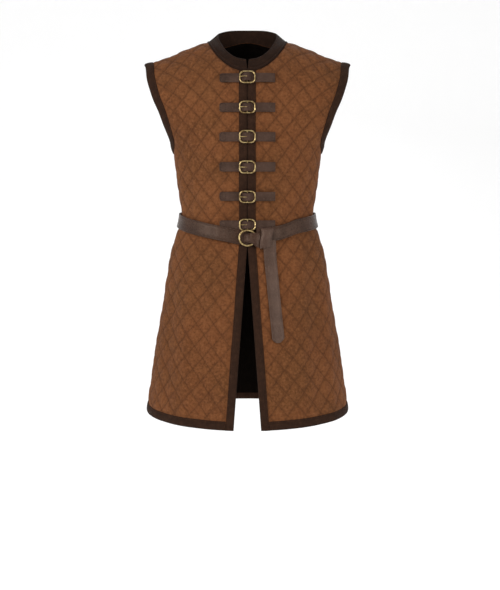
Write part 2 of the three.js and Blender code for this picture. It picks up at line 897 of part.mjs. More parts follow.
// ---- belt ----
function beltSection(turn, down, out, wide, thick) {
  const whole = ((turn % 360) + 540) % 360 - 180;
  const face = Math.abs(whole) <= 90 ? "front" : "back";
  const fromCentre = face === "front" ? whole : Math.sign(whole) * (180 - Math.abs(whole));
  const angle = THREE.MathUtils.degToRad(Math.abs(fromCentre));
  const across = Math.sign(fromCentre || 1) * arcTo(ringAt(face, alongAt(down)), angle);
  const corner = (lift, height) => {
    const along = alongAt(down + lift);
    return place(face, clampArc(face, across, along), along, height);
  };
  return [
    corner(-wide / 2, out),
    corner(-wide / 2, out + thick),
    corner(wide / 2, out + thick),
    corner(wide / 2, out),
  ];
}

function buildBeltBand() {
  const sections = [];
  const push = (rows, turn) => {
    const down = read(rows, "turn", "down", turn);
    const out = read(rows, "turn", "out", turn);
    sections.push(beltSection(turn, down, out, beltWide, beltThick));
  };
  const turnsLeft = [2, -4, -8, -13, -17, -21, -25, -31, -38, -46, -54, -62, -70, -78, -86];
  turnsLeft.forEach((turn) => push(beltRows, turn));
  for (let turn = -94; turn > -190; turn -= 9) push(beltRows, turn);
  for (let turn = 161; turn > 90; turn -= 9) push(beltRightRows, turn);
  [86, 78, 70, 62, 54, 46, 38, 32, 28, 24, 18, 12].forEach((turn) => push(beltRightRows, turn));
  addPiece("belt_band", skin(sections, false), materials.beltLeather);
}

function buildBeltRing() {
  const path = [];
  const count = 20;
  for (let i = 0; i < count; i += 1) {
    const angle = (i / count) * Math.PI * 2;
    const along = ringRadius * Math.sin(angle);
    const out = ringLevel - along * ringTilt;
    path.push(new THREE.Vector3(ringRadius * Math.cos(angle), along, out));
  }
  const ring = solidOf(wireRing(path, ringWire, 6));
  const centre = alongAt(ringDown);
  const laid = lay(ring, (across, along, out) => place("front", across, centre + along, out));
  addPiece("belt_ring", laid, materials.brass);
}

function buildBeltLoop() {
  const rows = [
    [-7, 10.8, 20],
    [-1, 11.4, 21],
    [4, 14.2, 22],
    [8, 17.6, 23],
    [13, 18.4, 27],
    [19, 18.3, 30],
    [24, 16.9, 31],
    [28, 15.4, 29],
    [31, 15.3, 28],
  ];
  const path = rows.map(([across, out]) => new THREE.Vector3(across, 0, out));
  const widths = rows.map((row) => row[2]);
  const strap = solidOf(ribbon(path, alongWay, widths, tailThick));
  const centre = alongAt(ringDown);
  const laid = lay(strap, (across, along, out) => {
    const tilt = ringTilt * smooth(across / 8);
    return place("front", across, centre + along, out - along * tilt);
  });
  addPiece("belt_loop", laid, materials.beltLeather);
}

function buildBeltKnot() {
  const rows = [
    { down: 423.5, out: 12.8 },
    { down: 424.8, out: 16.8 },
    { down: 430, out: 20 },
    { down: 440, out: 21.6 },
    { down: 454, out: 21.6 },
    { down: 466, out: 20.1 },
    { down: 476, out: 17.6 },
  ];
  const left = 25.6;
  const right = 58.6;
  const sections = [];
  const spans = 6;
  for (let i = 0; i <= spans; i += 1) {
    const across = left + ((right - left) * i) / spans;
    const swell = Math.sin((Math.PI * i) / spans);
    const outer = [];
    const inner = [];
    rows.forEach((row, k) => {
      const before = rows[Math.max(k - 1, 0)];
      const after = rows[Math.min(k + 1, rows.length - 1)];
      const run = new THREE.Vector2(after.down - before.down, after.out - before.out).normalize();
      const slant = k === rows.length - 1 ? 5 * (1 - i / spans) : 0;
      const lift = (swell - 0.6) * 0.8 * (k > 1 ? 1 : 0);
      const half = tailThick / 2;
      const down = row.down + slant;
      outer.push([down + run.y * half, row.out + lift + run.x * half]);
      inner.push([down - run.y * half, row.out + lift - run.x * half]);
    });
    const ring = [...outer, ...inner.reverse()];
    sections.push(ring.map(([down, out]) => place("front", across, alongAt(down), out)));
  }
  addPiece("belt_knot", skinOfFolds(sections, rows.length), materials.beltLeather);
}

// As skin, with end faces made of the quads between the outer and inner line of a folded section.
function skinOfFolds(sections, count) {
  const size = sections[0].length;
  const points = sections.flat().map((v) => v.toArray());
  const triangles = [];
  for (let s = 0; s < sections.length - 1; s += 1) {
    const here = s * size;
    const next = here + size;
    for (let k = 0; k < size; k += 1) {
      const after = (k + 1) % size;
      triangles.push([here + k, next + k, next + after]);
      triangles.push([here + k, next + after, here + after]);
    }
  }
  const end = (sections.length - 1) * size;
  for (let k = 0; k < count - 1; k += 1) {
    const back = size - 1 - k;
    triangles.push([k, k + 1, back - 1], [k, back - 1, back]);
    triangles.push([end + k + 1, end + k, end + back - 1], [end + back - 1, end + k, end + back]);
  }
  return geometryOf(points, triangles);
}

function buildBeltTail() {
  const sections = [];
  const last = tailRows[tailRows.length - 1];
  const push = (down, x, out, wide) => {
    const ends = [
      [-wide / 2, out],
      [-wide / 2, out + tailThick],
      [wide / 2, out + tailThick],
      [wide / 2, out],
    ];
    const lean = 0.1;
    sections.push(
      ends.map(([side, height]) => {
        return place("front", x * 1.01 + side, alongAt(down - side * lean), height);
      }),
    );
  };
  for (let down = tailRows[0].down; down < last.down; down += down < 500 ? 8 : 22) {
    const x = read(tailRows, "down", "x", down);
    push(down, x, read(tailRows, "down", "out", down), tailWide);
  }
  push(last.down, last.x, last.out, tailWide);
  push(last.down + tailPoint * 0.6, last.x + 0.6, last.out, tailWide * 0.62);
  push(last.down + tailPoint, last.x + 1, last.out, tailWide * 0.16);
  addPiece("belt_tail", skin(sections, false), materials.beltLeather);
}

buildFronts();
buildBack();
buildCollar();
buildArmholeBindings();
buildFrontEdgeBindings();
buildHemBindings();
buildClosures();
buildBeltBand();
buildBeltRing();
buildBeltLoop();
buildBeltKnot();
buildBeltTail();

export default vest;
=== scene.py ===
import math

import bmesh
import bpy
import numpy as np
from mathutils import Matrix, Vector


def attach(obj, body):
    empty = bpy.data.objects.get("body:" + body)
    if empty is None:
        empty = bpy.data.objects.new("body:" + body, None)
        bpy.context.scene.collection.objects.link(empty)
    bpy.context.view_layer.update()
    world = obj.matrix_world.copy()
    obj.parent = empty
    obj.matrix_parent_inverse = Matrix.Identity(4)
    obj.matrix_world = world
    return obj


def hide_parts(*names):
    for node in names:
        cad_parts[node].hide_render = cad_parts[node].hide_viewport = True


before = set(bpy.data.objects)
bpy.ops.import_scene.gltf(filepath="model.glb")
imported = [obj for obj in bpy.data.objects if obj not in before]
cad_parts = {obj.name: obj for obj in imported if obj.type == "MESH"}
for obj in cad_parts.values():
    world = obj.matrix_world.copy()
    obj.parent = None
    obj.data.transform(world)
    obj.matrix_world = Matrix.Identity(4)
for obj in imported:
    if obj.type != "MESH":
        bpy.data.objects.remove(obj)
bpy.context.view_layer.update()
scene = bpy.context.scene
mm = 0.001

# Camera in front of the chest, looking slightly down
cameraSet = {"place": (0.006, -2.8, -0.297), "pitchDown": 6.12, "lens": 71.6}
cameraData = bpy.data.cameras.new("camera")
cameraData.lens = cameraSet["lens"]
cameraObject = bpy.data.objects.new("camera", cameraData)
cameraObject.location = cameraSet["place"]
cameraObject.rotation_euler = (math.radians(90 - cameraSet["pitchDown"]), 0, 0)
scene.collection.objects.link(cameraObject)
scene.camera = cameraObject
print("camera ready")

# Form of the vest in mm, as in the frame. A ring holds its drop, half width, and depth to the front and back
vestForm = {
    "shoulderRounding": 140,
    "shoulderFade": 240,
    "meanDepth": 104,
    "neckHalf": 91,
    "backNeckRise": 28,
    "slitTop": 470,
    "slitHalfAtHem": 31,
    "frontHemDown": 888,
    "sideHemDown": 875,
    "backHemDown": 881,
    "rings": [
        (0, 262, 98, 104),
        (35, 271.5, 98, 109),
        (70, 270.5, 99.5, 113),
        (110, 259.5, 103, 116),
        (150, 239, 107, 117),
        (185, 218, 110, 116),
        (213, 197, 112, 113.5),
        (229, 184.5, 112.5, 112),
        (243, 176.5, 112.8, 110.3),
        (260, 171.5, 112.5, 108),
        (285, 167, 111.5, 104),
        (322, 163.5, 108, 97),
        (360, 158, 102.8, 91),
        (398, 153.3, 99.8, 87),
        (417, 154.7, 100.4, 87),
        (436, 159.5, 102.4, 88.8),
        (456, 166.8, 105.8, 91.6),
        (494, 178, 115, 98),
        (551, 188, 128, 107),
        (629, 200.4, 145, 119),
        (706, 214.5, 159, 131),
        (784, 226, 170, 143),
        (863, 237.4, 181, 155),
        (920, 243, 188, 162),
    ],
    "shoulders": [
        (0, -5),
        (78, -5),
        (91, -6),
        (109, -10.5),
        (132, -19),
        (154, -28),
        (175, -37),
        (205, -47),
        (238, -55.5),
        (275, -66),
    ],
    "armhole": [
        (90, 240),
        (82.5, 237.5),
        (75.5, 228),
        (68.5, 210),
        (62.5, 183),
        (58.5, 150),
        (56.4, 110),
        (56.6, 70),
        (59.2, 35),
        (63, 11),
        (67, 0),
    ],
    "neckFront": [(0, 71), (18, 69.5), (40, 60), (62, 42.5), (78, 23), (87.5, 7), (91, 0)],
    "neckBack": [(0, 20), (25, 19), (50, 15.5), (70, 10), (84, 3.6), (89.5, 0.7), (91, 0)],
}

# Folds of the worn cloth in mm: side, start and end as (arc from the centre, drop), half width and depth
foldSet = {
    "fade": 0.25,  # share of its length that a fold runs on past each end, fading out
    "beltClear": (20, 35),  # no folds this near to the belt, and the distance over which they come back
    "closureClear": (50, 30),  # the same beside the centre front, as far down as the closures go
    "closuresEnd": 460,
    "shoulderClear": 50,
    "front": [
        (1, (168, 228), (96, 330), 13, -1.9),
        (1, (176, 262), (132, 372), 11, -1.7),
        (1, (60, 372), (150, 352), 9, 1.3),
        (1, (84, 60), (150, 118), 17, -1.5),
        (1, (78, 150), (128, 240), 20, -1.2),
        (1, (66, 520), (74, 800), 17, -2.4),
        (1, (112, 486), (128, 870), 24, 2.6),
        (1, (158, 500), (182, 860), 20, -3.0),
        (1, (206, 560), (226, 880), 16, 2.2),
        (-1, (162, 234), (100, 316), 12, -2.1),
        (-1, (172, 270), (120, 388), 13, -1.5),
        (-1, (70, 384), (142, 366), 8, 1.2),
        (-1, (90, 70), (142, 132), 15, -1.3),
        (-1, (84, 180), (134, 262), 18, -1.1),
        (-1, (58, 500), (64, 760), 15, -2.0),
        (-1, (98, 490), (110, 880), 22, -2.6),
        (-1, (140, 510), (160, 870), 22, 2.8),
        (-1, (188, 530), (212, 870), 17, -2.8),
    ],
    "back": [
        (1, (10, 90), (6, 330), 26, -2.4),
        (1, (176, 250), (96, 340), 14, -2.2),
        (1, (150, 160), (70, 250), 22, 1.5),
        (1, (38, 300), (30, 398), 8, -2.0),
        (1, (74, 318), (66, 398), 9, -2.2),
        (1, (112, 330), (104, 396), 9, -1.8),
        (1, (24, 448), (34, 620), 10, -2.6),
        (1, (62, 450), (82, 700), 13, 2.2),
        (1, (98, 450), (124, 860), 18, -3.4),
        (1, (150, 470), (180, 870), 22, 2.8),
        (1, (196, 520), (222, 870), 16, -2.6),
        (-1, (170, 256), (92, 352), 13, -2.4),
        (-1, (146, 150), (76, 262), 24, 1.3),
        (-1, (30, 312), (26, 398), 9, -1.8),
        (-1, (66, 304), (58, 398), 8, -2.4),
        (-1, (104, 322), (96, 396), 10, -2.0),
        (-1, (16, 450), (22, 700), 14, 2.0),
        (-1, (52, 448), (70, 640), 10, -2.4),
        (-1, (92, 450), (112, 870), 20, 3.0),
        (-1, (136, 460), (162, 870), 18, -3.2),
        (-1, (186, 500), (210, 870), 20, 2.4),
    ],
}

# Centre line of the belt in mm: turn from the centre front in degrees, drop, height over the lining
beltLine = {
    "wide": 35,
    "thick": 2.8,
    "start": 2,  # turn of the first end, and how far round the band goes, in degrees
    "sweep": 355,
    "rows": [
        (-354, 450, 10.9),
        (-348, 449, 10.9),
        (-336, 445, 10.9),
        (-327, 439, 7.2),
        (-315, 430, 6.7),
        (-280, 420.5, 6.8),
        (-270, 418, 7.2),
        (-190, 412, 6.6),
        (-90, 418, 7.2),
        (-78, 421.5, 6.8),
        (-60, 428, 6.7),
        (-45, 434, 6.7),
        (-31, 440.5, 6.9),
        (-25, 443.5, 9.1),
        (-20, 446, 9.4),
        (-13, 449.5, 9.4),
        (-10, 451.5, 8.6),
        (-6, 453, 6.2),
        (2, 453.5, 6),
    ],
}


def smooth(t):
    t = np.clip(t, 0, 1)
    return t * t * (3 - 2 * t)


def readRows(rows, column, at):
    # Smooth curve through a column of a table whose first column is the key
    table = np.array(rows, float)
    keys, values = table[:, 0], table[:, column]
    last = len(keys) - 1
    low = np.maximum(np.arange(last + 1) - 1, 0)
    high = np.minimum(np.arange(last + 1) + 1, last)
    slopes = (values[high] - values[low]) / (keys[high] - keys[low])
    at = np.clip(at, keys[0], keys[-1])
    i = np.clip(np.searchsorted(keys, at, side="left") - 1, 0, last - 1)
    span = keys[i + 1] - keys[i]
    t = (at - keys[i]) / span
    rise = t * t * (3 - 2 * t) * (values[i + 1] - values[i])
    lead = t * (1 - t) ** 2 * span * slopes[i]
    trail = t * t * (t - 1) * span * slopes[i + 1]
    return values[i] + rise + lead + trail


def readSteps(rows, column, share):
    # The same for a table without keys, from its first row at 0 to its last at 1
    table = np.array(rows, float)
    steps = np.arange(len(table))
    keyed = np.column_stack([steps, table])
    return readRows(keyed, column + 1, np.asarray(share) * steps[-1])


# Distance along the grain from the shoulder seam, over the roll of the shoulder
rollTurns = np.linspace(0, math.pi / 2, 91)
rollFall = vestForm["shoulderRounding"] * mm * (1 - np.cos(rollTurns))
rollForward = vestForm["meanDepth"] * mm * np.sin(rollTurns)
rollArcs = np.concatenate([[0], np.cumsum(np.hypot(np.diff(rollFall), np.diff(rollForward)))])


def levelAt(along):
    # Drop at a distance along the grain, and the share of the full depth that the form has there
    along = np.maximum(along, 0)
    drop = vestForm["shoulderRounding"] * mm
    turn = np.interp(along, rollArcs, rollTurns)
    below = along >= rollArcs[-1]
    down = np.where(below, drop + along - rollArcs[-1], drop * (1 - np.cos(turn)))
    return down, np.where(below, 1.0, np.sin(turn))


def alongAt(down):
    down = np.asarray(down, float)
    drop = vestForm["shoulderRounding"] * mm
    turn = np.arccos(np.clip(1 - down / drop, -1, 1))
    rolled = np.interp(turn, rollTurns, rollArcs)
    return np.where(down >= drop, rollArcs[-1] + down - drop, rolled)


faceColumn = {"front": 2, "back": 3}
faceSign = {"front": -1.0, "back": 1.0}


def ringHalf(down):
    return readRows(vestForm["rings"], 1, down / mm) * mm


def ringDeep(face, down, roll):
    return readRows(vestForm["rings"], faceColumn[face], down / mm) * mm * roll


# Lengths of arc of the level rings, and the turn at each share of the arc to the side
ringStep = 0.002
ringAlongs = np.arange(0, 1.03, ringStep)
turnSteps, shareSteps = 72, 128
arcTurns = np.linspace(0, math.pi / 2, turnSteps + 1)
arcShares = np.linspace(0, 1, shareSteps + 1)


def ringTables(face):
    down, roll = levelAt(ringAlongs)
    half, deep = ringHalf(down), ringDeep(face, down, roll)
    x = half[:, None] * np.sin(arcTurns)[None]
    y = deep[:, None] * np.cos(arcTurns)[None]
    steps = np.hypot(np.diff(x, axis=1), np.diff(y, axis=1))
    arcs = np.concatenate([np.zeros((len(down), 1)), np.cumsum(steps, axis=1)], axis=1)
    turns = np.array([np.interp(arcShares, row / row[-1], arcTurns) for row in arcs])
    return {"arcs": arcs, "turns": turns}


ringsOf = {face: ringTables(face) for face in ("front", "back")}


def gridRead(table, row, column):
    # Value between the rows and columns of a table
    row = np.clip(row, 0, table.shape[0] - 1.001)
    column = np.clip(column, 0, table.shape[1] - 1.001)
    i, j = row.astype(int), column.astype(int)
    p, q = row - i, column - j
    near = table[i, j] * (1 - q) + table[i, j + 1] * q
    far = table[i + 1, j] * (1 - q) + table[i + 1, j + 1] * q
    return near * (1 - p) + far * p


def sideArc(face, along):
    return np.interp(np.maximum(along, 0), ringAlongs, ringsOf[face]["arcs"][:, -1])


def arcTo(face, along, turn):
    return gridRead(ringsOf[face]["arcs"], along / ringStep, turn / (math.pi / 2) * turnSteps)


def turnTo(face, along, across):
    share = np.abs(across) / sideArc(face, along)
    turn = gridRead(ringsOf[face]["turns"], along / ringStep, share * shareSteps)
    return turn * np.where(across < 0, -1, 1)


def shoulderHeight(face, x):
    out = np.abs(x) / mm
    rise = readRows(vestForm["shoulders"], 1, out)
    if face == "back":
        neck = np.minimum(out / vestForm["neckHalf"], 1)
        rise = rise + vestForm["backNeckRise"] * 0.5 * (1 + np.cos(np.pi * neck))
    return rise * mm


def onLining(face, across, along):
    # Point on the lining: arc from the centre line, distance along the grain
    along = np.maximum(along, 0)
    down, roll = levelAt(along)
    limit = sideArc(face, along)
    turn = turnTo(face, along, np.clip(across, -limit, limit))
    x = ringHalf(down) * np.sin(turn)
    y = faceSign[face] * ringDeep(face, down, roll) * np.cos(turn)
    fade = 1 - smooth(down / (vestForm["shoulderFade"] * mm))
    return np.stack([x, y, shoulderHeight(face, x) * fade - down], axis=-1)


def beltDown(face, turn):
    # Drop of the belt's centre line at a turn of one face
    angle = np.degrees(turn)
    whole = -np.abs(angle) if face == "front" else np.abs(angle) - 180
    return readRows(beltLine["rows"], 1, whole) * mm


def awayFromBelt(face, across, along):
    down, _ = levelAt(along)
    return np.abs(down - beltDown(face, turnTo(face, along, across)))


def foldHeight(face, across, along):
    # Soft troughs and ridges, none under the belt, the straps and the front edges
    down, _ = levelAt(along)
    total = np.zeros_like(down)
    fade = foldSet["fade"]
    for side, start, end, wide, deep in foldSet[face]:
        a, b = np.array(start) * mm, np.array(end) * mm
        u, v = across * side - a[0], down - a[1]
        run = b - a
        t = np.clip((u * run[0] + v * run[1]) / (run @ run), -fade, 1 + fade)
        away = np.hypot(u - t * run[0], v - t * run[1]) / (wide * mm)
        taper = smooth((t + fade) / (2 * fade)) * smooth((1 + fade - t) / (2 * fade))
        total += deep * mm * np.exp(-(away**2)) * taper
    clear, over = foldSet["beltClear"]
    pinned = smooth((awayFromBelt(face, across, along) - clear * mm) / (over * mm))
    if face == "front":
        clear, over = foldSet["closureClear"]
        closures = smooth((np.abs(across) - clear * mm) / (over * mm))
        pinned = pinned * np.where(down < foldSet["closuresEnd"] * mm, closures, 1)
    return total * pinned * smooth(along / (foldSet["shoulderClear"] * mm))


def placeOn(face, across, along, out):
    # Point over the lining: arc from the centre line, distance along the grain, height
    step = 0.0006
    limit = sideArc(face, along)
    across = np.clip(across, -limit, limit)
    right = onLining(face, across + step, along)
    left = onLining(face, across - step, along)
    low = onLining(face, across, along + step)
    high = onLining(face, across, np.maximum(along - step, 0))
    normal = np.cross(right - left, low - high) * faceSign[face]
    normal /= np.linalg.norm(normal, axis=-1, keepdims=True)
    lifted = out + foldHeight(face, across, along)
    return onLining(face, across, along) + normal * lifted[..., None]


def slitHalf(face, along):
    # Half the width of the open slit below the belt, which only the front has
    if face == "back":
        return 0.0
    down, _ = levelAt(along)
    top = vestForm["slitTop"] * mm
    bottom = vestForm["frontHemDown"] * mm
    return vestForm["slitHalfAtHem"] * mm * np.maximum(down - top, 0) / (bottom - top)


# Edges of the pieces as rows of (across, along)
def armholeEdge(face, count=60):
    share = np.linspace(0, 1, count + 1)
    turn = np.radians(readSteps(vestForm["armhole"], 0, share))
    along = alongAt(np.maximum(readSteps(vestForm["armhole"], 1, share), 0) * mm)
    return np.stack([arcTo(face, along, turn), along], axis=1)


def neckEdge(face, count=60):
    share = np.linspace(0, 1, count + 1)
    rows = vestForm["neckFront" if face == "front" else "neckBack"]
    x = readSteps(rows, 0, share) * mm
    along = alongAt(np.maximum(readSteps(rows, 1, share), 0) * mm)
    turn = np.arcsin(np.clip(x / ringHalf(levelAt(along)[0]), -1, 1))
    return np.stack([arcTo(face, along, turn), along], axis=1)


def hemAlong(face, across, lift):
    middle = vestForm["frontHemDown" if face == "front" else "backHemDown"] * mm
    side = vestForm["sideHemDown"] * mm
    share = np.minimum(np.abs(across) / sideArc(face, alongAt(side)), 1)
    return alongAt(middle + (side - middle) * share**2 - lift)


def insetEdge(edge, distance, startWay, endWay):
    # The edge moved into the cloth, its ends kept on the seams that they lie on
    run = np.zeros_like(edge)
    run[1:-1] = edge[2:] - edge[:-2]
    way = np.stack([-run[:, 1], run[:, 0]], axis=1)
    way[0], way[-1] = startWay, endWay
    way /= np.linalg.norm(way, axis=1, keepdims=True)
    way[way @ (np.array(startWay) + np.array(endWay)) < 0] *= -1
    return edge + way * distance


def armholeInset(face, distance, count=60):
    # From the side seam to the shoulder seam
    return insetEdge(armholeEdge(face, count), distance, (0, 1), (-1, 0))


def coordinates(bm):
    return np.array([v.co for v in bm.verts])


def moveTo(bm, points):
    for v, p in zip(bm.verts, points):
        v.co = p


def writeUv(bm, flat):
    # Flat sizes of the cloth or leather in metres, for weave, stitches and grain
    bm.verts.index_update()
    layer = bm.loops.layers.uv.new("Flat")
    for face in bm.faces:
        for loop in face.loops:
            u, v = flat[loop.vert.index][:2]
            loop[layer].uv = (u, v)


sharpAngles = {"trim": 50, "leather": 55, "brass": 60}  # in degrees, beyond which an edge is shown sharp


def finishPiece(name, bm, materials, stoodFor=(), sharp=None):
    # Turns a bmesh into a piece on the one body, which stands for the nodes named in stoodFor
    name = "vest_" + name
    for face in bm.faces:
        face.smooth = True
    mesh = bpy.data.meshes.new(name)
    bm.to_mesh(mesh)
    bm.free()
    if sharp:
        mesh.set_sharp_from_angle(angle=math.radians(sharpAngles[sharp]))
    piece = bpy.data.objects.new(name, mesh)
    scene.collection.objects.link(piece)
    for material in materials:
        mesh.materials.append(material)
    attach(piece, "root")
    if stoodFor:
        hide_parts(*stoodFor)
    return piece


def sheetGrid(cellsLong, cellsRound, shape, size, closedLong=False):
    # A grid bent to a shape. It closes round its section, and along its length or with end caps
    bm = bmesh.new()
    bmesh.ops.create_grid(bm, x_segments=cellsLong, y_segments=cellsRound, size=0.5)
    flat = coordinates(bm)[:, :2] + 0.5
    writeUv(bm, flat * np.array(size))
    points = shape(flat[:, 0], flat[:, 1])
    if closedLong:
        first, last = flat[:, 0] < 0.00001, flat[:, 0] > 0.99999
        points[last] = points[first]
    moveTo(bm, points)
    bmesh.ops.remove_doubles(bm, verts=bm.verts[:], dist=1e-6)
    if not closedLong:
        rim = [e for e in bm.edges if e.is_boundary]
        bmesh.ops.holes_fill(bm, edges=rim, sides=0)
    bmesh.ops.recalc_face_normals(bm, faces=bm.faces[:])
    return bm


# Materials
def startMaterial(name, sockets):
    material = bpy.data.materials.new(name)
    material.use_nodes = True
    tree = material.node_tree
    base = tree.nodes["Principled BSDF"]
    for socket, value in sockets.items():
        base.inputs[socket].default_value = value
    return material, tree, base


def addNode(tree, kind, inputs=None, **settings):
    node = tree.nodes.new(kind)
    for key, value in settings.items():
        setattr(node, key, value)
    for socket, value in (inputs or {}).items():
        if isinstance(value, bpy.types.NodeSocket):
            tree.links.new(value, node.inputs[socket])
        else:
            node.inputs[socket].default_value = value
    return node


def calc(tree, operation, *values):
    node = addNode(tree, "ShaderNodeMath", dict(enumerate(values)), operation=operation)
    return node.outputs[0]


def ramp(tree, value, stops):
    node = addNode(tree, "ShaderNodeValToRGB", {"Fac": value})
    elements = node.color_ramp.elements
    while len(elements) < len(stops):
        elements.new(0.5)
    for element, (place, color) in zip(elements, stops):
        element.position = place
        element.color = (*color, 1)
    return node.outputs["Color"]


def noise(tree, scale, detail=4, roughness=0.55):
    vector = addNode(tree, "ShaderNodeTexCoord").outputs["Object"]
    inputs = {"Vector": vector, "Scale": scale, "Detail": detail, "Roughness": roughness}
    return addNode(tree, "ShaderNodeTexNoise", inputs).outputs[0]


def remap(tree, value, low, high, toLow=0.0, toHigh=1.0):
    inputs = {"Value": value, "From Min": low, "From Max": high, "To Min": toLow, "To Max": toHigh}
    return addNode(tree, "ShaderNodeMapRange", inputs, interpolation_type="SMOOTHSTEP").outputs[0]


def mixColor(tree, share, first, second, blend="MIX"):
    node = addNode(tree, "ShaderNodeMix", data_type="RGBA", blend_type=blend)
    for socket, value in ((node.inputs[0], share), (node.inputs[6], first), (node.inputs[7], second)):
        if isinstance(value, bpy.types.NodeSocket):
            tree.links.new(value, socket)
        else:
            socket.default_value = value if isinstance(value, float) else (*value, 1)
    return node.outputs[2]


def bump(tree, height, distance, strength, under=None):
    inputs = {"Height": height, "Distance": distance, "Strength": strength}
    if under is not None:
        inputs["Normal"] = under
    return addNode(tree, "ShaderNodeBump", inputs).outputs[0]


def flatUv(tree):
    uv = addNode(tree, "ShaderNodeUVMap", uv_map="Flat").outputs[0]
    parts = addNode(tree, "ShaderNodeSeparateXYZ", {0: uv})
    return parts.outputs[0], parts.outputs[1]


def threads(tree, u, v, pitch):
    # Plain weave: one set of threads over the other by turns
    waves = [calc(tree, "SINE", calc(tree, "MULTIPLY", way, 2 * math.pi / pitch)) for way in (u, v)]
    return calc(tree, "MULTIPLY", *waves)


def quiltedCloth():
    look = {
        "dark": (0.078, 0.029, 0.0108),
        "body": (0.172, 0.0595, 0.0205),
        "fadedAndLit": (0.235, 0.091, 0.034),
        "seam": (0.06, 0.022, 0.0088),
        "olive": (0.115, 0.047, 0.0155),
        "threadPitch": 0.0011,
        "gathers": 7,  # small puckers along each side of a diamond
        "patchScale": 9,
        "oliveScale": 5.5,
        "mottleScale": 70,
        "creaseScale": 190,
        "grainScale": 620,
    }
    sockets = {"Sheen Weight": 0.03, "Sheen Roughness": 0.5, "Specular IOR Level": 0.07}
    material, tree, base = startMaterial("quilted cotton", sockets)
    u, v = flatUv(tree)
    p = calc(tree, "DIVIDE", u, quiltSet["wide"] * mm)
    q = calc(tree, "DIVIDE", v, quiltSet["tall"] * mm)
    a, b = calc(tree, "ADD", p, q), calc(tree, "SUBTRACT", p, q)
    nearA, nearB = calc(tree, "PINGPONG", a, 0.5), calc(tree, "PINGPONG", b, 0.5)
    near = calc(tree, "MINIMUM", nearA, nearB)
    patches = noise(tree, look["patchScale"], 3)
    mottle = noise(tree, look["mottleScale"], 5, 0.65)
    creased = noise(tree, look["creaseScale"], 4, 0.6)
    grain = noise(tree, look["grainScale"], 3, 0.7)
    color = ramp(tree, patches, [(0.3, look["dark"]), (0.5, look["body"]), (0.75, look["fadedAndLit"])])
    color = mixColor(tree, 0.45, look["body"], color)
    olive = remap(tree, noise(tree, look["oliveScale"], 2), 0.42, 0.62, 0.0, 0.6)
    color = mixColor(tree, olive, color, look["olive"])
    color = mixColor(tree, remap(tree, mottle, 0.35, 0.7, 0.0, 0.4), color, look["fadedAndLit"])
    # Painted shade in the crease troughs and painted highlight on the crease crests: the colour follows the
    # same noise as the crease bump
    color = mixColor(tree, remap(tree, creased, 0.3, 0.54, 0.6, 0.0), color, look["dark"])
    color = mixColor(tree, remap(tree, creased, 0.52, 0.68, 0.0, 0.65), color, look["fadedAndLit"])
    color = mixColor(tree, remap(tree, grain, 0.3, 0.62, 0.4, 0.0), color, look["dark"])
    # Painted shade: darker towards the quilting lines, down in the sunken channels between the puffs
    color = mixColor(tree, remap(tree, near, 0.0, 0.2, 0.3, 0.0), color, look["dark"])
    color = mixColor(tree, remap(tree, near, 0.005, 0.022, 0.3, 0.0), color, look["seam"])
    tree.links.new(color, base.inputs["Base Color"])
    tree.links.new(remap(tree, mottle, 0.3, 0.7, 0.78, 0.95), base.inputs["Roughness"])
    gathers = []
    for along, nearLine in ((b, nearA), (a, nearB)):
        wave = calc(tree, "SINE", calc(tree, "MULTIPLY", along, math.pi * look["gathers"]))
        fade = remap(tree, nearLine, 0.0, 0.2, 1.0, 0.0)
        gathers.append(calc(tree, "MULTIPLY", calc(tree, "ABSOLUTE", wave), fade))
    pucker = calc(tree, "ADD", *gathers)
    normal = bump(tree, pucker, 0.0007, 0.5)
    normal = bump(tree, creased, 0.003, 0.6, normal)
    normal = bump(tree, grain, 0.0006, 0.5, normal)
    normal = bump(tree, threads(tree, u, v, look["threadPitch"]), 0.00015, 0.8, normal)
    tree.links.new(normal, base.inputs["Normal"])
    return material


def darkCloth(name, body, light, pitch, gloss=0.06):
    # pitch is that of the weave in metres
    look = {"mottleScale": 90, "grainScale": 700, "shade": 0.45}
    sockets = {"Sheen Weight": gloss / 3, "Sheen Roughness": 0.5, "Specular IOR Level": gloss}
    material, tree, base = startMaterial(name, sockets)
    u, v = flatUv(tree)
    mottle = noise(tree, look["mottleScale"], 5, 0.65)
    grain = noise(tree, look["grainScale"], 3, 0.7)
    weave = threads(tree, u, v, pitch)
    color = mixColor(tree, remap(tree, mottle, 0.35, 0.72, 0.0, 0.7), body, light)
    shaded = tuple(c * look["shade"] for c in body)
    color = mixColor(tree, remap(tree, grain, 0.35, 0.65, 0.35, 0.0), color, shaded)
    color = mixColor(tree, remap(tree, weave, 0.2, 1.0, 0.0, 0.35), color, light)
    tree.links.new(color, base.inputs["Base Color"])
    tree.links.new(remap(tree, mottle, 0.3, 0.7, 0.75, 0.92), base.inputs["Roughness"])
    normal = bump(tree, grain, 0.0006, 0.5)
    normal = bump(tree, weave, 0.00018, 0.8, normal)
    tree.links.new(normal, base.inputs["Normal"])
    return material


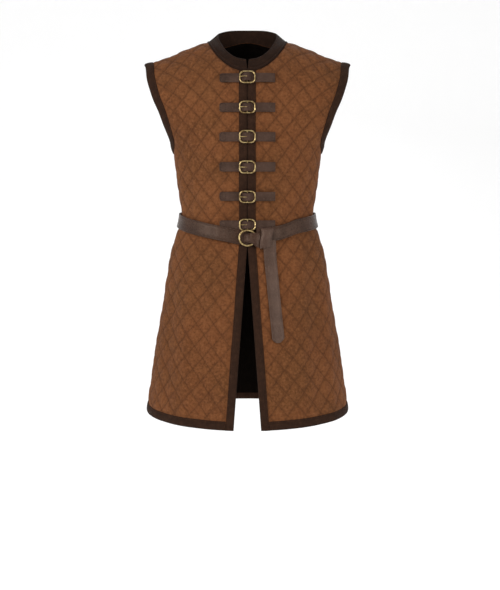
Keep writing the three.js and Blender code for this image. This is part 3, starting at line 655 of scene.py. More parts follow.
def leather(name, colors, roughness, grainSize, gloss):
    dark, body, worn = colors
    look = {"tint": (1.0, 0.74, 0.58, 1), "patchScale": 28, "scuffScale": 210}
    sockets = {
        "Specular IOR Level": gloss,
        "Specular Tint": look["tint"],
        "Coat Weight": 0.03,
        "Coat Roughness": 0.35,
    }
    material, tree, base = startMaterial(name, sockets)
    place = addNode(tree, "ShaderNodeTexCoord").outputs["Object"]
    patches = noise(tree, look["patchScale"], 4, 0.6)
    scuffs = noise(tree, look["scuffScale"], 5, 0.7)
    cells = {"Vector": place, "Scale": 1 / grainSize}
    pores = addNode(tree, "ShaderNodeTexVoronoi", cells, feature="DISTANCE_TO_EDGE")
    cracks = remap(tree, pores.outputs["Distance"], 0.0, 0.16)
    color = mixColor(tree, remap(tree, patches, 0.3, 0.7), dark, body)
    color = mixColor(tree, remap(tree, scuffs, 0.52, 0.72, 0.0, 0.6), color, worn)
    color = mixColor(tree, remap(tree, cracks, 0.0, 1.0, 0.45, 0.0), color, dark)
    tree.links.new(color, base.inputs["Base Color"])
    rubbed = remap(tree, scuffs, 0.3, 0.75, roughness - 0.08, roughness + 0.16)
    tree.links.new(rubbed, base.inputs["Roughness"])
    normal = bump(tree, cracks, 0.0002, 0.5)
    normal = bump(tree, patches, 0.0012, 0.35, normal)
    normal = bump(tree, scuffs, 0.0004, 0.4, normal)
    tree.links.new(normal, base.inputs["Normal"])
    return material


def agedBrass():
    look = {
        "dull": (0.2, 0.125, 0.05),
        "rubbed": (0.6, 0.45, 0.21),
        "pit": (0.12, 0.075, 0.035),
        "patchScale": 160,
        "pitScale": 900,
    }
    material, tree, base = startMaterial("aged brass", {"Metallic": 1.0})
    patches = noise(tree, look["patchScale"], 4, 0.6)
    pits = noise(tree, look["pitScale"], 4, 0.7)
    color = mixColor(tree, remap(tree, patches, 0.36, 0.62), look["dull"], look["rubbed"])
    color = mixColor(tree, remap(tree, pits, 0.6, 0.75, 0.0, 0.6), color, look["pit"])
    tree.links.new(color, base.inputs["Base Color"])
    tree.links.new(remap(tree, patches, 0.35, 0.65, 0.42, 0.24), base.inputs["Roughness"])
    normal = bump(tree, pits, 0.0002, 0.4)
    tree.links.new(bump(tree, patches, 0.0006, 0.4, normal), base.inputs["Normal"])
    return material


quiltSet = {  # sizes in mm
    "wide": 43,
    "tall": 52,
    "reach": 410,  # room that the diamonds cover, to each side and down
    "length": 1000,
    "cells": 10,  # faces along each side of a diamond
    "weld": 0.03,
    "channel": 3.1,  # height of the outer face over the lining, in the channels and at the top of a puff
    "puff": 5.6,
    "crown": 0.5,
    "uneven": 0.35,
    "fullest": 0.7,  # share of the fillings that are below the even one
    "shuffle": (12.9898, 78.233, 43758.5453),  # spreads the fillings, the same each time
    "underBinding": 10,
    "seamPressed": 2.4,  # height at a seam, and the width over which it rises
    "seamWide": 7,
    "tapeCover": 10.5,  # of the cloth that the bindings hide, pressed flat
    "tapePressed": 3.0,
    "beltClear": (16, 12),  # pressed this near to the belt, and the distance over which it fills out
    "underBelt": 0.35,  # share of the puff that is left under the belt
    "stitches": 9,  # along each side of a diamond
    "crumple": 0.34,
}
wrinkleSet = {  # lengths in mm
    "bendAcross": ((4, 9.3, 1.7), (3, 7.1, 0)),  # size, wave and start of what bends the pattern
    "bendAlong": (5, 10.7, 0.4),
    "across": (3.1, 1.3, 12.3),  # wave, how much the other way bends it, and that bend's wave
    "along": (3.7, 1.6, 14.3),
    "patches": (31, 43),  # waves of the stronger and weaker places
}
leatherColors = {  # of the creases, of the body and of the worn places
    "strap": ((0.032, 0.0165, 0.0115), (0.066, 0.0365, 0.0265), (0.115, 0.074, 0.056)),
    "belt": ((0.022, 0.009, 0.0052), (0.045, 0.0195, 0.0112), (0.082, 0.043, 0.027)),
    "tail": ((0.045, 0.0235, 0.0165), (0.082, 0.0465, 0.034), (0.13, 0.086, 0.067)),
}
finishes = {
    "thread": darkCloth("waxed thread", (0.078, 0.031, 0.0135), (0.115, 0.047, 0.02), 0.0006),
    "strapThread": darkCloth("strap thread", (0.016, 0.0095, 0.007), (0.03, 0.018, 0.013), 0.0006),
    "cloth": quiltedCloth(),
    # The lining's near-black is painted shade: it stands for the deep shadow inside the vest, seen through
    # the slit and the openings
    "lining": darkCloth("lining darkened as painted shade", (0.004, 0.0026, 0.002), (0.008, 0.005, 0.0036), 0.0012, 0.01),
    "trim": darkCloth("dark binding", (0.0255, 0.0115, 0.0064), (0.049, 0.023, 0.0135), 0.0014),
    # The collar is the binding cloth made darker as painted shade, for the shadow that the collar sits in
    "collar": darkCloth("collar cloth darkened as painted shade", (0.0175, 0.008, 0.0044), (0.034, 0.016, 0.0095), 0.0014),
    "strap": leather("strap leather", leatherColors["strap"], 0.5, 0.0013, 0.2),
    "belt": leather("belt leather", leatherColors["belt"], 0.31, 0.0015, 0.35),
    "tail": leather("worn belt leather", leatherColors["tail"], 0.34, 0.0015, 0.4),
    "brass": agedBrass(),
}
print("materials ready")


# Quilted panels
def cutLimits(face, u, v):
    # Inner and outer limit across, upper and lower limit along, in the flat cut of a panel
    under = quiltSet["underBinding"] * mm
    along = np.maximum(v, 0)
    opened = slitHalf(face, along)
    arm = armholeInset(face, under)[::-1]
    side = sideArc(face, along)
    outer = np.where(along < arm[-1, 1], np.minimum(np.interp(along, arm[:, 1], arm[:, 0]), side), side)
    outer = outer - opened
    inner = np.full_like(outer, under) if face == "front" else -outer
    neck = neckEdge(face)
    top = np.interp(np.abs(u), neck[:, 0], neck[:, 1], right=0.0)
    bottom = hemAlong(face, u + opened, under)
    return inner, outer, top, bottom


def puffHeight(u, v):
    # Each diamond is filled a little more or less, by a fixed sum of its two numbers
    a = u / (quiltSet["wide"] * mm) + v / (quiltSet["tall"] * mm)
    b = u / (quiltSet["wide"] * mm) - v / (quiltSet["tall"] * mm)
    shuffleA, shuffleB, spread = quiltSet["shuffle"]
    seed = np.sin(np.floor(a) * shuffleA + np.floor(b) * shuffleB) * spread
    filled = 1 + quiltSet["uneven"] * (seed - np.floor(seed) - quiltSet["fullest"])
    pillow = np.abs(np.sin(np.pi * a) * np.sin(np.pi * b)) ** quiltSet["crown"]
    return (quiltSet["puff"] - quiltSet["channel"]) * mm * pillow * filled


def edgeRoom(face, u, v):
    # Room to the nearest bound edge and to the nearest seam
    inner, outer, top, bottom = cutLimits(face, u, v)
    bound = bottom - v
    for x, y in armholeInset(face, quiltSet["underBinding"] * mm):
        bound = np.minimum(bound, np.hypot(np.abs(u) - x, v - y))
    if face == "front":
        bound = np.minimum(bound, u - inner)
    return bound, np.minimum(np.minimum(u - inner, outer - u), v - top)


def crumple(u, v):
    # Small uneven wrinkles of worn cloth, between -1 and 1
    u, v = u / mm, v / mm
    x, y = u, v
    for value, (size, wave, start) in zip((v, u), wrinkleSet["bendAcross"]):
        x = x + size * np.sin(value / wave + start)
    size, wave, start = wrinkleSet["bendAlong"]
    y = y + size * np.sin(u / wave + start)
    total = 0
    for here, other, (wave, bend, slow) in ((x, y, wrinkleSet["across"]), (y, x, wrinkleSet["along"])):
        total = total + np.sin(here / wave + bend * np.sin(other / slow))
    wideX, wideY = wrinkleSet["patches"]
    return 0.5 * total * np.sin(x / wideX + y / wideY) ** 2


def clothHeight(face, side, u, v, puffed=True):
    # Outer face over the lining: puffed, but pressed flat at seams, bindings and under the belt
    bound, seam = edgeRoom(face, u, v)
    width = quiltSet["seamWide"] * mm
    pressed = smooth(seam / width)
    taped = smooth((bound - quiltSet["tapeCover"] * mm) / width)
    clear, over = quiltSet["beltClear"]
    belted = smooth((awayFromBelt(face, (u + slitHalf(face, v)) * side, v) - clear * mm) / (over * mm))
    height = quiltSet["channel"] * mm
    if puffed:
        left = quiltSet["underBelt"] + (1 - quiltSet["underBelt"]) * belted
        height = height + puffHeight(u, v) * taped * left
        height = height + quiltSet["crumple"] * mm * crumple(u, v) * taped * belted
    height = height * taped + quiltSet["tapePressed"] * mm * (1 - taped)
    return quiltSet["seamPressed"] * mm * (1 - pressed) + height * pressed


def layPanel(face, side, u, v, out):
    return placeOn(face, (u + slitHalf(face, v)) * side, v, out)


def diamondSpan(face):
    # First and last number of the diamonds' sides, both ways, that cover a panel
    wide, tall = quiltSet["wide"], quiltSet["tall"]
    reach, length = quiltSet["reach"], quiltSet["length"]
    lowA = 0 if face == "front" else -math.ceil(reach / wide)
    highA = math.ceil(reach / wide + length / tall)
    lowB = -math.ceil(length / tall) + lowA
    return lowA, highA, lowB, math.ceil(reach / wide)


def quiltPanel(name, face, side):
    # A grid along the diamonds' sides, trimmed to the cut, with the lining at height 0 and the cloth at 1
    wide, tall, cells = quiltSet["wide"] * mm, quiltSet["tall"] * mm, quiltSet["cells"]
    lowA, highA, lowB, highB = diamondSpan(face)
    bm = bmesh.new()
    bmesh.ops.create_grid(bm, x_segments=(highA - lowA) * cells, y_segments=(highB - lowB) * cells, size=0.5)
    square = coordinates(bm) + 0.5
    a, b = lowA + square[:, 0] * (highA - lowA), lowB + square[:, 1] * (highB - lowB)
    u, v = (a + b) * wide / 2, (a - b) * tall / 2
    inner, outer, top, bottom = cutLimits(face, u, v)
    within = (u > inner) & (u < outer) & (v > top) & (v < bottom)
    moveTo(bm, np.stack([u, v, np.zeros_like(u)], axis=1))
    bm.verts.index_update()
    gone = [f for f in bm.faces if not any(within[c.index] for c in f.verts)]
    bmesh.ops.delete(bm, geom=gone, context="FACES")
    flat = coordinates(bm)
    inner, outer, top, bottom = cutLimits(face, flat[:, 0], flat[:, 1])
    flat[:, 1] = np.clip(flat[:, 1], top, bottom)
    inner, outer, top, bottom = cutLimits(face, flat[:, 0], flat[:, 1])
    flat[:, 0] = np.clip(flat[:, 0], inner, outer)
    moveTo(bm, flat)
    bmesh.ops.remove_doubles(bm, verts=bm.verts[:], dist=quiltSet["weld"] * mm)
    raised = bmesh.ops.extrude_face_region(bm, geom=bm.faces[:])
    for corner in raised["geom"]:
        if isinstance(corner, bmesh.types.BMVert):
            corner.co.z = 1
    for f in bm.faces:
        f.material_index = 1 if all(c.co.z == 0 for c in f.verts) else 0
    flat = coordinates(bm)
    writeUv(bm, flat)
    height = clothHeight(face, side, flat[:, 0], flat[:, 1]) * flat[:, 2]
    moveTo(bm, layPanel(face, side, flat[:, 0], flat[:, 1], height))
    bmesh.ops.recalc_face_normals(bm, faces=bm.faces[:])
    return finishPiece(name, bm, [finishes["cloth"], finishes["lining"]], [name])


# Stitches in mm: one is made flat and repeated, and the copies are laid on their piece
threadSet = {
    "pitch": 4.2,
    "long": 3.3,
    "wide": 0.7,
    "high": 0.6,
    "around": 5,  # faces round a stitch, and along it
    "rings": 3,
    "lift": 0.22,
    "seamClear": 1.5,  # no quilting stitches nearer to a seam and to the middle of the belt
    "beltClear": 13,
}
stitchCorners = threadSet["around"] * (threadSet["rings"] - 1) + 2


def stitchField(start, run, runCount, step=(0, 0), stepCount=1):
    # Rows of stitches along run, repeated by step
    bm = bmesh.new()
    around, rings = threadSet["around"], threadSet["rings"]
    bmesh.ops.create_uvsphere(bm, u_segments=around, v_segments=rings, radius=0.5)
    way = Vector((run[0], run[1], 0)).normalized()
    aside = Vector((-way.y, way.x, 0)) * threadSet["wide"]
    upward = Vector((0, 0, threadSet["high"]))
    turned = (Matrix((aside, upward, way * threadSet["long"])).transposed() * mm).to_4x4()
    bm.transform(Matrix.Translation((*start, 0)) @ turned)
    bmesh.ops.recalc_face_normals(bm, faces=bm.faces[:])
    mesh = bpy.data.meshes.new("stitch")
    bm.to_mesh(mesh)
    bm.free()
    field = bpy.data.objects.new("stitch", mesh)
    scene.collection.objects.link(field)
    for offset, count in ((run, runCount), (step, stepCount)):
        if count > 1:
            array = field.modifiers.new("row", "ARRAY")
            array.use_relative_offset = False
            array.use_constant_offset = True
            array.constant_offset_displace = (*offset, 0)
            array.count = count
    shown = field.evaluated_get(bpy.context.evaluated_depsgraph_get())
    bm = bmesh.new()
    bm.from_mesh(shown.to_mesh())
    bpy.data.objects.remove(field)
    return bm


def middles(bm):
    return coordinates(bm).reshape(-1, stitchCorners, 3).mean(axis=1)


def dropStitches(bm, kept):
    # kept has one value for each stitch
    gone = [v for i, v in enumerate(bm.verts) if not kept[i // stitchCorners]]
    bmesh.ops.delete(bm, geom=gone, context="VERTS")


def joinInto(whole, bm):
    mesh = bpy.data.meshes.new("joined")
    bm.to_mesh(mesh)
    bm.free()
    whole.from_mesh(mesh)
    bpy.data.meshes.remove(mesh)


def threadPiece(name, rows, slot):
    # rows are bmeshes of stitches that are already laid
    whole = bmesh.new()
    for row in rows:
        joinInto(whole, row)
    bmesh.ops.recalc_face_normals(whole, faces=whole.faces[:])
    finish = "strapThread" if slot == "strap_leather" else "thread"
    return finishPiece(name, whole, [finishes[finish]])


def stitchRow(length, lay):
    # A straight row laid by a function of distance along it, offset and height in metres
    count = max(int(length / (threadSet["pitch"] * mm)), 1)
    pitch = length / count
    bm = stitchField((pitch / 2, 0), (pitch, 0), count)
    flat = coordinates(bm)
    moveTo(bm, lay(flat[:, 0], flat[:, 1], flat[:, 2]))
    return bm


def quiltStitches(name, face, side):
    wide, tall, count = quiltSet["wide"] * mm, quiltSet["tall"] * mm, quiltSet["stitches"]
    lowA, highA, lowB, highB = diamondSpan(face)
    spanA, spanB = highA - lowA, highB - lowB
    down, up = np.array((wide / 2, -tall / 2)), np.array((wide / 2, tall / 2))
    fields = []
    for run, runSpan, step, stepSpan in ((down, spanB, up, spanA), (up, spanA, down, spanB)):
        start = lowA * up + lowB * down + run / count / 2
        bm = stitchField(start, run / count, runSpan * count, step, stepSpan)
        centre = middles(bm)
        u, v = centre[:, 0], centre[:, 1]
        bound, seam = edgeRoom(face, u, v)
        clear = awayFromBelt(face, (u + slitHalf(face, v)) * side, v) > threadSet["beltClear"] * mm
        clear &= (bound > quiltSet["tapeCover"] * mm) & (seam > threadSet["seamClear"] * mm)
        dropStitches(bm, clear)
        flat = coordinates(bm)
        height = clothHeight(face, side, flat[:, 0], flat[:, 1], puffed=False)
        height = height + flat[:, 2] + threadSet["lift"] * mm
        moveTo(bm, layPanel(face, side, flat[:, 0], flat[:, 1], height))
        fields.append(bm)
    return threadPiece(name, fields, "quilted_cloth")


frontLeft = quiltPanel("front_left", "front", 1)
frontRight = quiltPanel("front_right", "front", -1)
back = quiltPanel("back", "back", 1)
quiltStitches("quilting_front_left", "front", 1)
quiltStitches("quilting_front_right", "front", -1)
quiltStitches("quilting_back", "back", 1)
print("quilted panels ready")

# Bindings. The section runs from the inner side of the tape, round the edge, and back over the outside
tapeSet = {  # sizes in mm
    "wide": 20,
    "frontWide": 18.8,
    "centreGap": 0.15,  # from a front edge to the centre line
    "neckGap": 0.3,
    "hemLap": 0.6,  # of the hem's tape under the front edge's
    "armholeRound": 660,
    "edgeRows": 160,  # points along an armhole's edge, on each face
    "sectionRound": 50,
    "cells": {"armhole": 150, "frontEdge": 230, "front": 100, "back": 200},
    "pucker": 0.22,
    "sway": 0.012,  # share of the width by which the inner edge wanders
    "waves": (19.5, 71, 258),  # of the fine and wide puckers, and of the sway
    "stitchInset": 17.5,
    "stitchLift": 4.75,
    "section": [  # share of the width, height in mm
        (1.0, 0.3),
        (0.6, -0.3),
        (0.25, -0.4),
        (0.06, 0.2),
        (-0.005, 1.4),
        (-0.01, 2.8),
        (0.04, 4.3),
        (0.13, 5.3),
        (0.3, 5.75),
        (0.5, 5.8),
        (0.7, 5.6),
        (0.82, 5.1),
        (0.87, 4.6),
        (0.92, 5.0),
        (0.98, 4.7),
        (1.0, 3.6),
    ],
}


def loopRead(rows, column, t):
    table = np.array(rows + rows[:1], float)[:, column]
    return np.interp(t * len(rows), np.arange(len(table)), table)


def tapeSection(s, t, length):
    # Share of the width and height of the tape, with small puckers along its stitched edge
    share = loopRead(tapeSet["section"], 0, t)
    height = loopRead(tapeSet["section"], 1, t) * mm
    fine, broad, slow = (2 * math.pi * round(length / (wave * mm)) for wave in tapeSet["waves"])
    pucker = np.sin(s * fine) + 0.7 * np.sin(s * broad + 1.3)
    outside = height > 2 * mm
    height = height + tapeSet["pucker"] * mm * pucker * smooth((share - 0.3) / 0.5) * outside
    return share + tapeSet["sway"] * np.sin(s * slow) * (share > 0.5), height


def lineAt(edge, share):
    # Points at a share of an edge's rows
    place = share * (len(edge) - 1)
    steps = np.arange(len(edge))
    return np.stack([np.interp(place, steps, edge[:, 0]), np.interp(place, steps, edge[:, 1])], axis=1)


def onEitherFace(isFront, across, along, out):
    front = placeOn("front", across, along, out)
    rear = placeOn("back", across, along, out)
    return np.where(isFront[:, None], front, rear)


def tapeGrid(kind, shape, length, closedLong=False):
    size = (length, tapeSet["sectionRound"] * mm)
    return sheetGrid(tapeSet["cells"][kind], len(tapeSet["section"]), shape, size, closedLong)


def armholeTape(side):
    length = tapeSet["armholeRound"] * mm

    def shape(s, t):
        share, height = tapeSection(s, t, length)
        isFront = s <= 0.5
        along = {}
        for face in ("front", "back"):
            edge = armholeEdge(face, tapeSet["edgeRows"])
            inner = armholeInset(face, tapeSet["wide"] * mm, tapeSet["edgeRows"])
            step = np.where(isFront, 2 * s, 2 - 2 * s)
            at, to = lineAt(edge, step), lineAt(inner, step)
            along[face] = at + (to - at) * share[:, None]
        flat = np.where(isFront[:, None], along["front"], along["back"])
        return onEitherFace(isFront, flat[:, 0] * side, flat[:, 1], height)

    return tapeGrid("armhole", shape, length, closedLong=True)


def frontEdgeTape(side):
    foot = float(alongAt(vestForm["frontHemDown"] * mm))
    gap = tapeSet["centreGap"] * mm

    def shape(s, t):
        share, height = tapeSection(s, t, foot)
        across = gap + (tapeSet["frontWide"] * mm - gap) * np.clip(share, 0, 1.05)
        neck = neckEdge("front")
        top = np.interp(across, neck[:, 0], neck[:, 1]) + tapeSet["neckGap"] * mm
        return layPanel("front", side, across, top + (foot - top) * s, height)

    return tapeGrid("frontEdge", shape, foot)


def hemTape(face, side):
    end = float(sideArc(face, alongAt(vestForm["sideHemDown"] * mm)))
    start = -end
    if face == "front":
        start = (tapeSet["frontWide"] - tapeSet["hemLap"] + vestForm["slitHalfAtHem"]) * mm

    def shape(s, t):
        share, height = tapeSection(s, t, end - start)
        across = start + (end - start) * s
        low = hemAlong(face, across, 0)
        high = hemAlong(face, across, tapeSet["wide"] * mm)
        along = low + (high - low) * share
        return placeOn(face, across * side, along, height)

    return tapeGrid(face, shape, end - start)


def tapeStitches(side):
    # One row near the inner edge of each binding, which starts a little way in from each end
    inset, lift = tapeSet["stitchInset"] * mm, tapeSet["stitchLift"] * mm
    frontInset = inset - (tapeSet["wide"] - tapeSet["frontWide"]) * mm
    foot = float(alongAt(vestForm["frontHemDown"] * mm))
    neckTop = float(neckEdge("front")[:, 1].max())
    rows = []

    def frontRow(x, y, z):
        return layPanel("front", side, frontInset + y, neckTop + 2 * mm + x, lift + z)

    rows.append(stitchRow(foot - neckTop - inset, frontRow))
    for face in ("front", "back"):
        edge = armholeInset(face, inset, tapeSet["edgeRows"])
        lengths = np.concatenate([[0], np.cumsum(np.linalg.norm(np.diff(edge, axis=0), axis=1))])

        def armRow(x, y, z):
            across = np.interp(x, lengths, edge[:, 0])
            along = np.interp(x, lengths, edge[:, 1])
            return placeOn(face, (across - y) * side, along, lift + z)

        rows.append(stitchRow(lengths[-1], armRow))
        end = float(sideArc(face, alongAt(vestForm["sideHemDown"] * mm))) - 1 * mm
        start = (tapeSet["wide"] + vestForm["slitHalfAtHem"]) * mm if face == "front" else 0

        def hemRow(x, y, z):
            return placeOn(face, (start + x) * side, hemAlong(face, start + x, inset) + y, lift + z)

        rows.append(stitchRow(end - start, hemRow))
    return rows


def trimPiece(name, bm, finish="trim"):
    return finishPiece(name, bm, [finishes[finish]], [name], "trim")


for side, word in ((1, "left"), (-1, "right")):
    trimPiece("armhole_binding_" + word, armholeTape(side))
    trimPiece("front_edge_binding_" + word, frontEdgeTape(side))
    trimPiece("hem_binding_front_" + word, hemTape("front", side))
    threadPiece("binding_stitches_" + word, tapeStitches(side), "dark_trim")
trimPiece("hem_binding_back", hemTape("back", 1))

collarSet = {  # sizes in mm
    "cells": 180,
    "round": 520,
    "sectionRound": 90,
    "rootOut": 5.2,  # height over the lining that gives the way outwards
    "wave": 0.35,
    "waves": 19,  # from the centre front to the centre back, in radians
    "sewnRound": 460,
    "sewnTall": 40,
    "sewnClear": 0.004,  # share of the round that each end leaves free
    "stitches": [(0.16, 5.35), (0.82, 4.1)],  # share of the height, distance outwards
    "top": [  # top edge from the centre front to the centre back
        (3.2, -70, -48),
        (26.6, -65.8, -43),
        (45.8, -54.2, -30),
        (59, -33, -12),
        (66.5, -6, 6),
        (64, 22, 20),
        (46, 42, 28),
        (24, 51, 31),
        (0, 54, 32),
    ],
    "section": [  # share of the height, distance outwards
        (0.0, 0.3),
        (-0.05, 2.6),
        (-0.06, 5.0),
        (-0.02, 6.2),
        (0.06, 6.4),
        (0.13, 6.0),
        (0.16, 5.3),
        (0.2, 5.7),
        (0.4, 5.5),
        (0.6, 5.0),
        (0.78, 4.6),
        (0.82, 4.0),
        (0.86, 4.5),
        (0.95, 4.1),
        (1.0, 2.8),
        (1.01, 1.4),
        (0.98, 0.3),
        (0.85, -0.2),
        (0.5, -0.3),
        (0.2, 0.0),
    ],
}


def thereAndBack(s):
    return np.where(s <= 0.5, 2 * s, 2 - 2 * s)


def collarPoint(s, share, away):
    # s runs round the neck from the centre front, share up the height, away outwards in metres
    side = np.where(s < 0.5, 1.0, -1.0)
    half = thereAndBack(s)
    isFront = half <= 0.5
    step = thereAndBack(half)
    flat = np.where(isFront[:, None], lineAt(neckEdge("front"), step), lineAt(neckEdge("back"), step))
    across = np.where(isFront, np.maximum(flat[:, 0], tapeSet["centreGap"] * mm), flat[:, 0])
    low = onEitherFace(isFront, across, flat[:, 1], np.zeros_like(s))
    lowOut = onEitherFace(isFront, across, flat[:, 1], np.full_like(s, collarSet["rootOut"] * mm))
    top = np.stack([readSteps(collarSet["top"], k, half) * mm for k in range(3)], axis=1)
    rise = top - low
    tall = np.linalg.norm(rise, axis=1, keepdims=True)
    rise /= tall
    out = lowOut - low
    out -= rise * (out * rise).sum(axis=1, keepdims=True)
    out /= np.linalg.norm(out, axis=1, keepdims=True)
    points = low + rise * tall * share[:, None] + out * away[:, None]
    points[:, 0] *= side
    return points


def collarShape(s, t):
    share = loopRead(collarSet["section"], 0, t)
    turn = thereAndBack(s) * collarSet["waves"] + 2 * t * math.pi
    wave = collarSet["wave"] * np.sin(turn) * (share > 0.3)
    return collarPoint(s, share, (loopRead(collarSet["section"], 1, t) + wave) * mm)


def collarStitches():
    length, tall, clear = collarSet["sewnRound"] * mm, collarSet["sewnTall"] * mm, collarSet["sewnClear"]
    rows = []
    for share, away in collarSet["stitches"]:

        def collarRow(x, y, z):
            at = clear + (1 - 2 * clear) * x / length
            return collarPoint(at, share + y / tall, away * mm + z)

        rows.append(stitchRow(length, collarRow))
    return rows


threadPiece("collar_stitches", collarStitches(), "dark_trim")
size = (collarSet["round"] * mm, collarSet["sectionRound"] * mm)
bm = sheetGrid(collarSet["cells"], len(collarSet["section"]), collarShape, size)
trimPiece("collar", bm, "collar")
print("bindings and collar ready")

# Leather strips: section as (share of half the width, share of half the thickness)
stripSection = [
    (-1.0, -0.2),
    (-0.995, 0.45),
    (-0.965, 0.85),
    (-0.92, 1.0),
    (-0.86, 1.0),
    (-0.82, 0.72),
    (-0.78, 1.0),
    (-0.45, 1.05),
    (0.0, 1.08),
    (0.45, 1.05),
    (0.78, 1.0),
    (0.82, 0.72),
    (0.86, 1.0),
    (0.92, 1.0),
    (0.965, 0.85),
    (0.995, 0.45),
    (1.0, -0.2),
    (0.96, -0.85),
    (0.6, -1.0),
    (0.0, -1.0),
    (-0.6, -1.0),
    (-0.96, -0.85),
]


def pathOf(rows, count=400):
    # Dense smooth path through rows, with the length along it
    share = np.linspace(0, 1, count)
    points = np.stack([readSteps(rows, k, share) for k in range(len(rows[0]))], axis=1)
    steps = np.linalg.norm(np.diff(points[:, :2], axis=0), axis=1)
    return points, np.concatenate([[0], np.cumsum(steps)])


def readPath(path, s):
    # Columns of a path at a share of its length, and the way that it runs there
    points, lengths = path
    at, step = s * lengths[-1], 0.3
    columns = [np.interp(at, lengths, points[:, k]) for k in range(points.shape[1])]
    ahead = [np.interp(at + step, lengths, points[:, k]) for k in range(2)]
    behind = [np.interp(at - step, lengths, points[:, k]) for k in range(2)]
    run = np.stack([ahead[0] - behind[0], ahead[1] - behind[1]], axis=1)
    run /= np.linalg.norm(run, axis=1, keepdims=True)
    return columns, run


def stripParts(t, wide, thick):
    # Distance from the strip's centre line, and height over its middle
    side = loopRead(stripSection, 0, t) * wide / 2
    height = loopRead(stripSection, 1, t) * thick / 2
    return side, height


def roundedEnd(distance, radius, blunt):
    # Share of the width near a rounded end
    t = np.clip(distance / radius, 0, 1)
    return blunt + (1 - blunt) * np.sqrt(np.clip(1 - (1 - t) ** 2, 0, 1))


closureSet = {  # sizes in mm, drawn round the middle of a buckle as (across, height over the lining)
    "count": 6,
    "first": 90,
    "pitch": 67,
    "thick": 1.9,
    "sectionRound": 45,
    "tongueSize": (21.4, 110, 7, 0.66),  # width, faces along, length of the rounded end, width left there
    "baseSize": (20.4, 70, 3, 0.85),
    "tongue": [
        (-62.3, 7.5),
        (-59.3, 7.6),
        (-40, 7.6),
        (-20, 7.7),
        (-11.5, 10.0),
        (-5, 15.6),
        (0, 17.0),
        (5, 15.6),
        (11, 10.6),
        (18, 9.7),
        (32, 9.7),
        (47, 9.6),
        (62.3, 8.0),
    ],
    "base": [
        (46, 7.6),
        (24, 7.6),
        (8, 8.0),
        (0, 9.85),
        (-2.3, 10.95),
        (-2.85, 13.4),
        (-1.1, 15.3),
        (1.3, 15.2),
    ],
    "frameHalfWide": 16.7,
    "frameHalfTall": 12.9,
    "frameCorner": 9.2,
    "frameWire": 1.75,
    "frameLevel": 12.7,
    "cornerSteps": 12,
    "barWire": 1.0,
    "prongWire": 1.1,
    "prongTaper": 0.35,
    "waist": 0.12,  # share of the width that a strap loses inside the frame, and half the length of that
    "waistHalf": 11,
    "sewn": (-60.2, -48.5, 8.2),  # box of stitches: its ends across, and half its height
    "sewnLift": 8.72,
    "prong": [
        (-0.6, 10.2),
        (2.2, 11.2),
        (2.75, 13.6),
        (1.4, 15.6),
        (-0.4, 16.9),
        (-3, 17.6),
        (-9, 16.8),
        (-14, 15.7),
        (-17.6, 15.0),
    ],
}


def onClosure(centre, x, y, out):
    # x, y and out in mm round the middle of a closure
    return placeOn("front", x * mm, centre + y * mm, out * mm)


def strapPiece(name, kind, centre):
    path = pathOf(closureSet[kind])
    length = path[1][-1]
    wide, cells, tip, blunt = closureSet[kind + "Size"]

    def shape(s, t):
        (x, z), run = readPath(path, s)
        width = wide * roundedEnd(s * length, tip, blunt)
        width = width * (1 - closureSet["waist"] * np.exp(-((x / closureSet["waistHalf"]) ** 4)))
        side, height = stripParts(t, width, closureSet["thick"])
        return onClosure(centre, x - run[:, 1] * height, side, z + run[:, 0] * height)

    bm = sheetGrid(cells, len(stripSection), shape, (length * mm, closureSet["sectionRound"] * mm))
    finishPiece(name, bm, [finishes["strap"]], [name], "leather")


wireSizes = {  # faces along and round, length and girth in mm
    "frame": (96, 12, 100, 12),
    "bar": (8, 10, 27, 8),
    "prong": (48, 10, 30, 8),
    "ring": (96, 14, 110, 14),
}


def wireShape(line, radius, centre, taper=0.0):
    # Round wire along a line of (x, y, height) points in mm
    points, lengths = line
    isRing = np.allclose(points[0], points[-1])
    step = 0.2

    def at(length):
        if isRing:
            length = length % lengths[-1]
        return np.stack([np.interp(length, lengths, points[:, k]) for k in range(3)], axis=1)

    def shape(s, t):
        length = s * lengths[-1]
        here = at(length)
        if isRing:
            run = at(length + step) - at(length - step)
        else:
            run = at(np.minimum(length + step, lengths[-1])) - at(np.maximum(length - step, 0))
        run /= np.linalg.norm(run, axis=1, keepdims=True)
        up = np.array([0.0, 0.0, 1.0])
        side = np.cross(run, up)
        flat = np.linalg.norm(side, axis=1, keepdims=True)
        side = np.where(flat > 0.05, side / np.maximum(flat, 1e-6), [[0.0, 1.0, 0.0]])
        up = np.cross(side, run)
        thin = radius * (1 - taper * s)[:, None]
        turn = 2 * math.pi * t[:, None]
        ring = here + thin * (side * np.cos(turn) + up * np.sin(turn))
        return onClosure(centre, ring[:, 0], ring[:, 1], ring[:, 2])

    return shape


def lineOf(points):
    # Points, with the length along them
    points = np.array(points, float)
    return points, np.concatenate([[0], np.cumsum(np.linalg.norm(np.diff(points, axis=0), axis=1))])


def frameLine():
    half, tall, corner = closureSet["frameHalfWide"], closureSet["frameHalfTall"], closureSet["frameCorner"]
    steps = closureSet["cornerSteps"]
    points = []
    for sx, sy, start in ((1, 1, 0), (-1, 1, 90), (-1, -1, 180), (1, -1, 270)):
        for k in range(steps + 1):
            angle = math.radians(start + 90 * k / steps)
            x = sx * (half - corner) + corner * math.cos(angle)
            y = sy * (tall - corner) + corner * math.sin(angle)
            points.append((x, y, closureSet["frameLevel"]))
    return lineOf(points + points[:1])


def wirePiece(name, kind, shape, stoodFor=()):
    # The bar of a buckle stands for no node
    cellsLong, cellsRound, length, girth = wireSizes[kind]
    closed = kind in ("frame", "ring")
    bm = sheetGrid(cellsLong, cellsRound, shape, (length * mm, girth * mm), closed)
    finishPiece(name, bm, [finishes["brass"]], stoodFor, "brass")


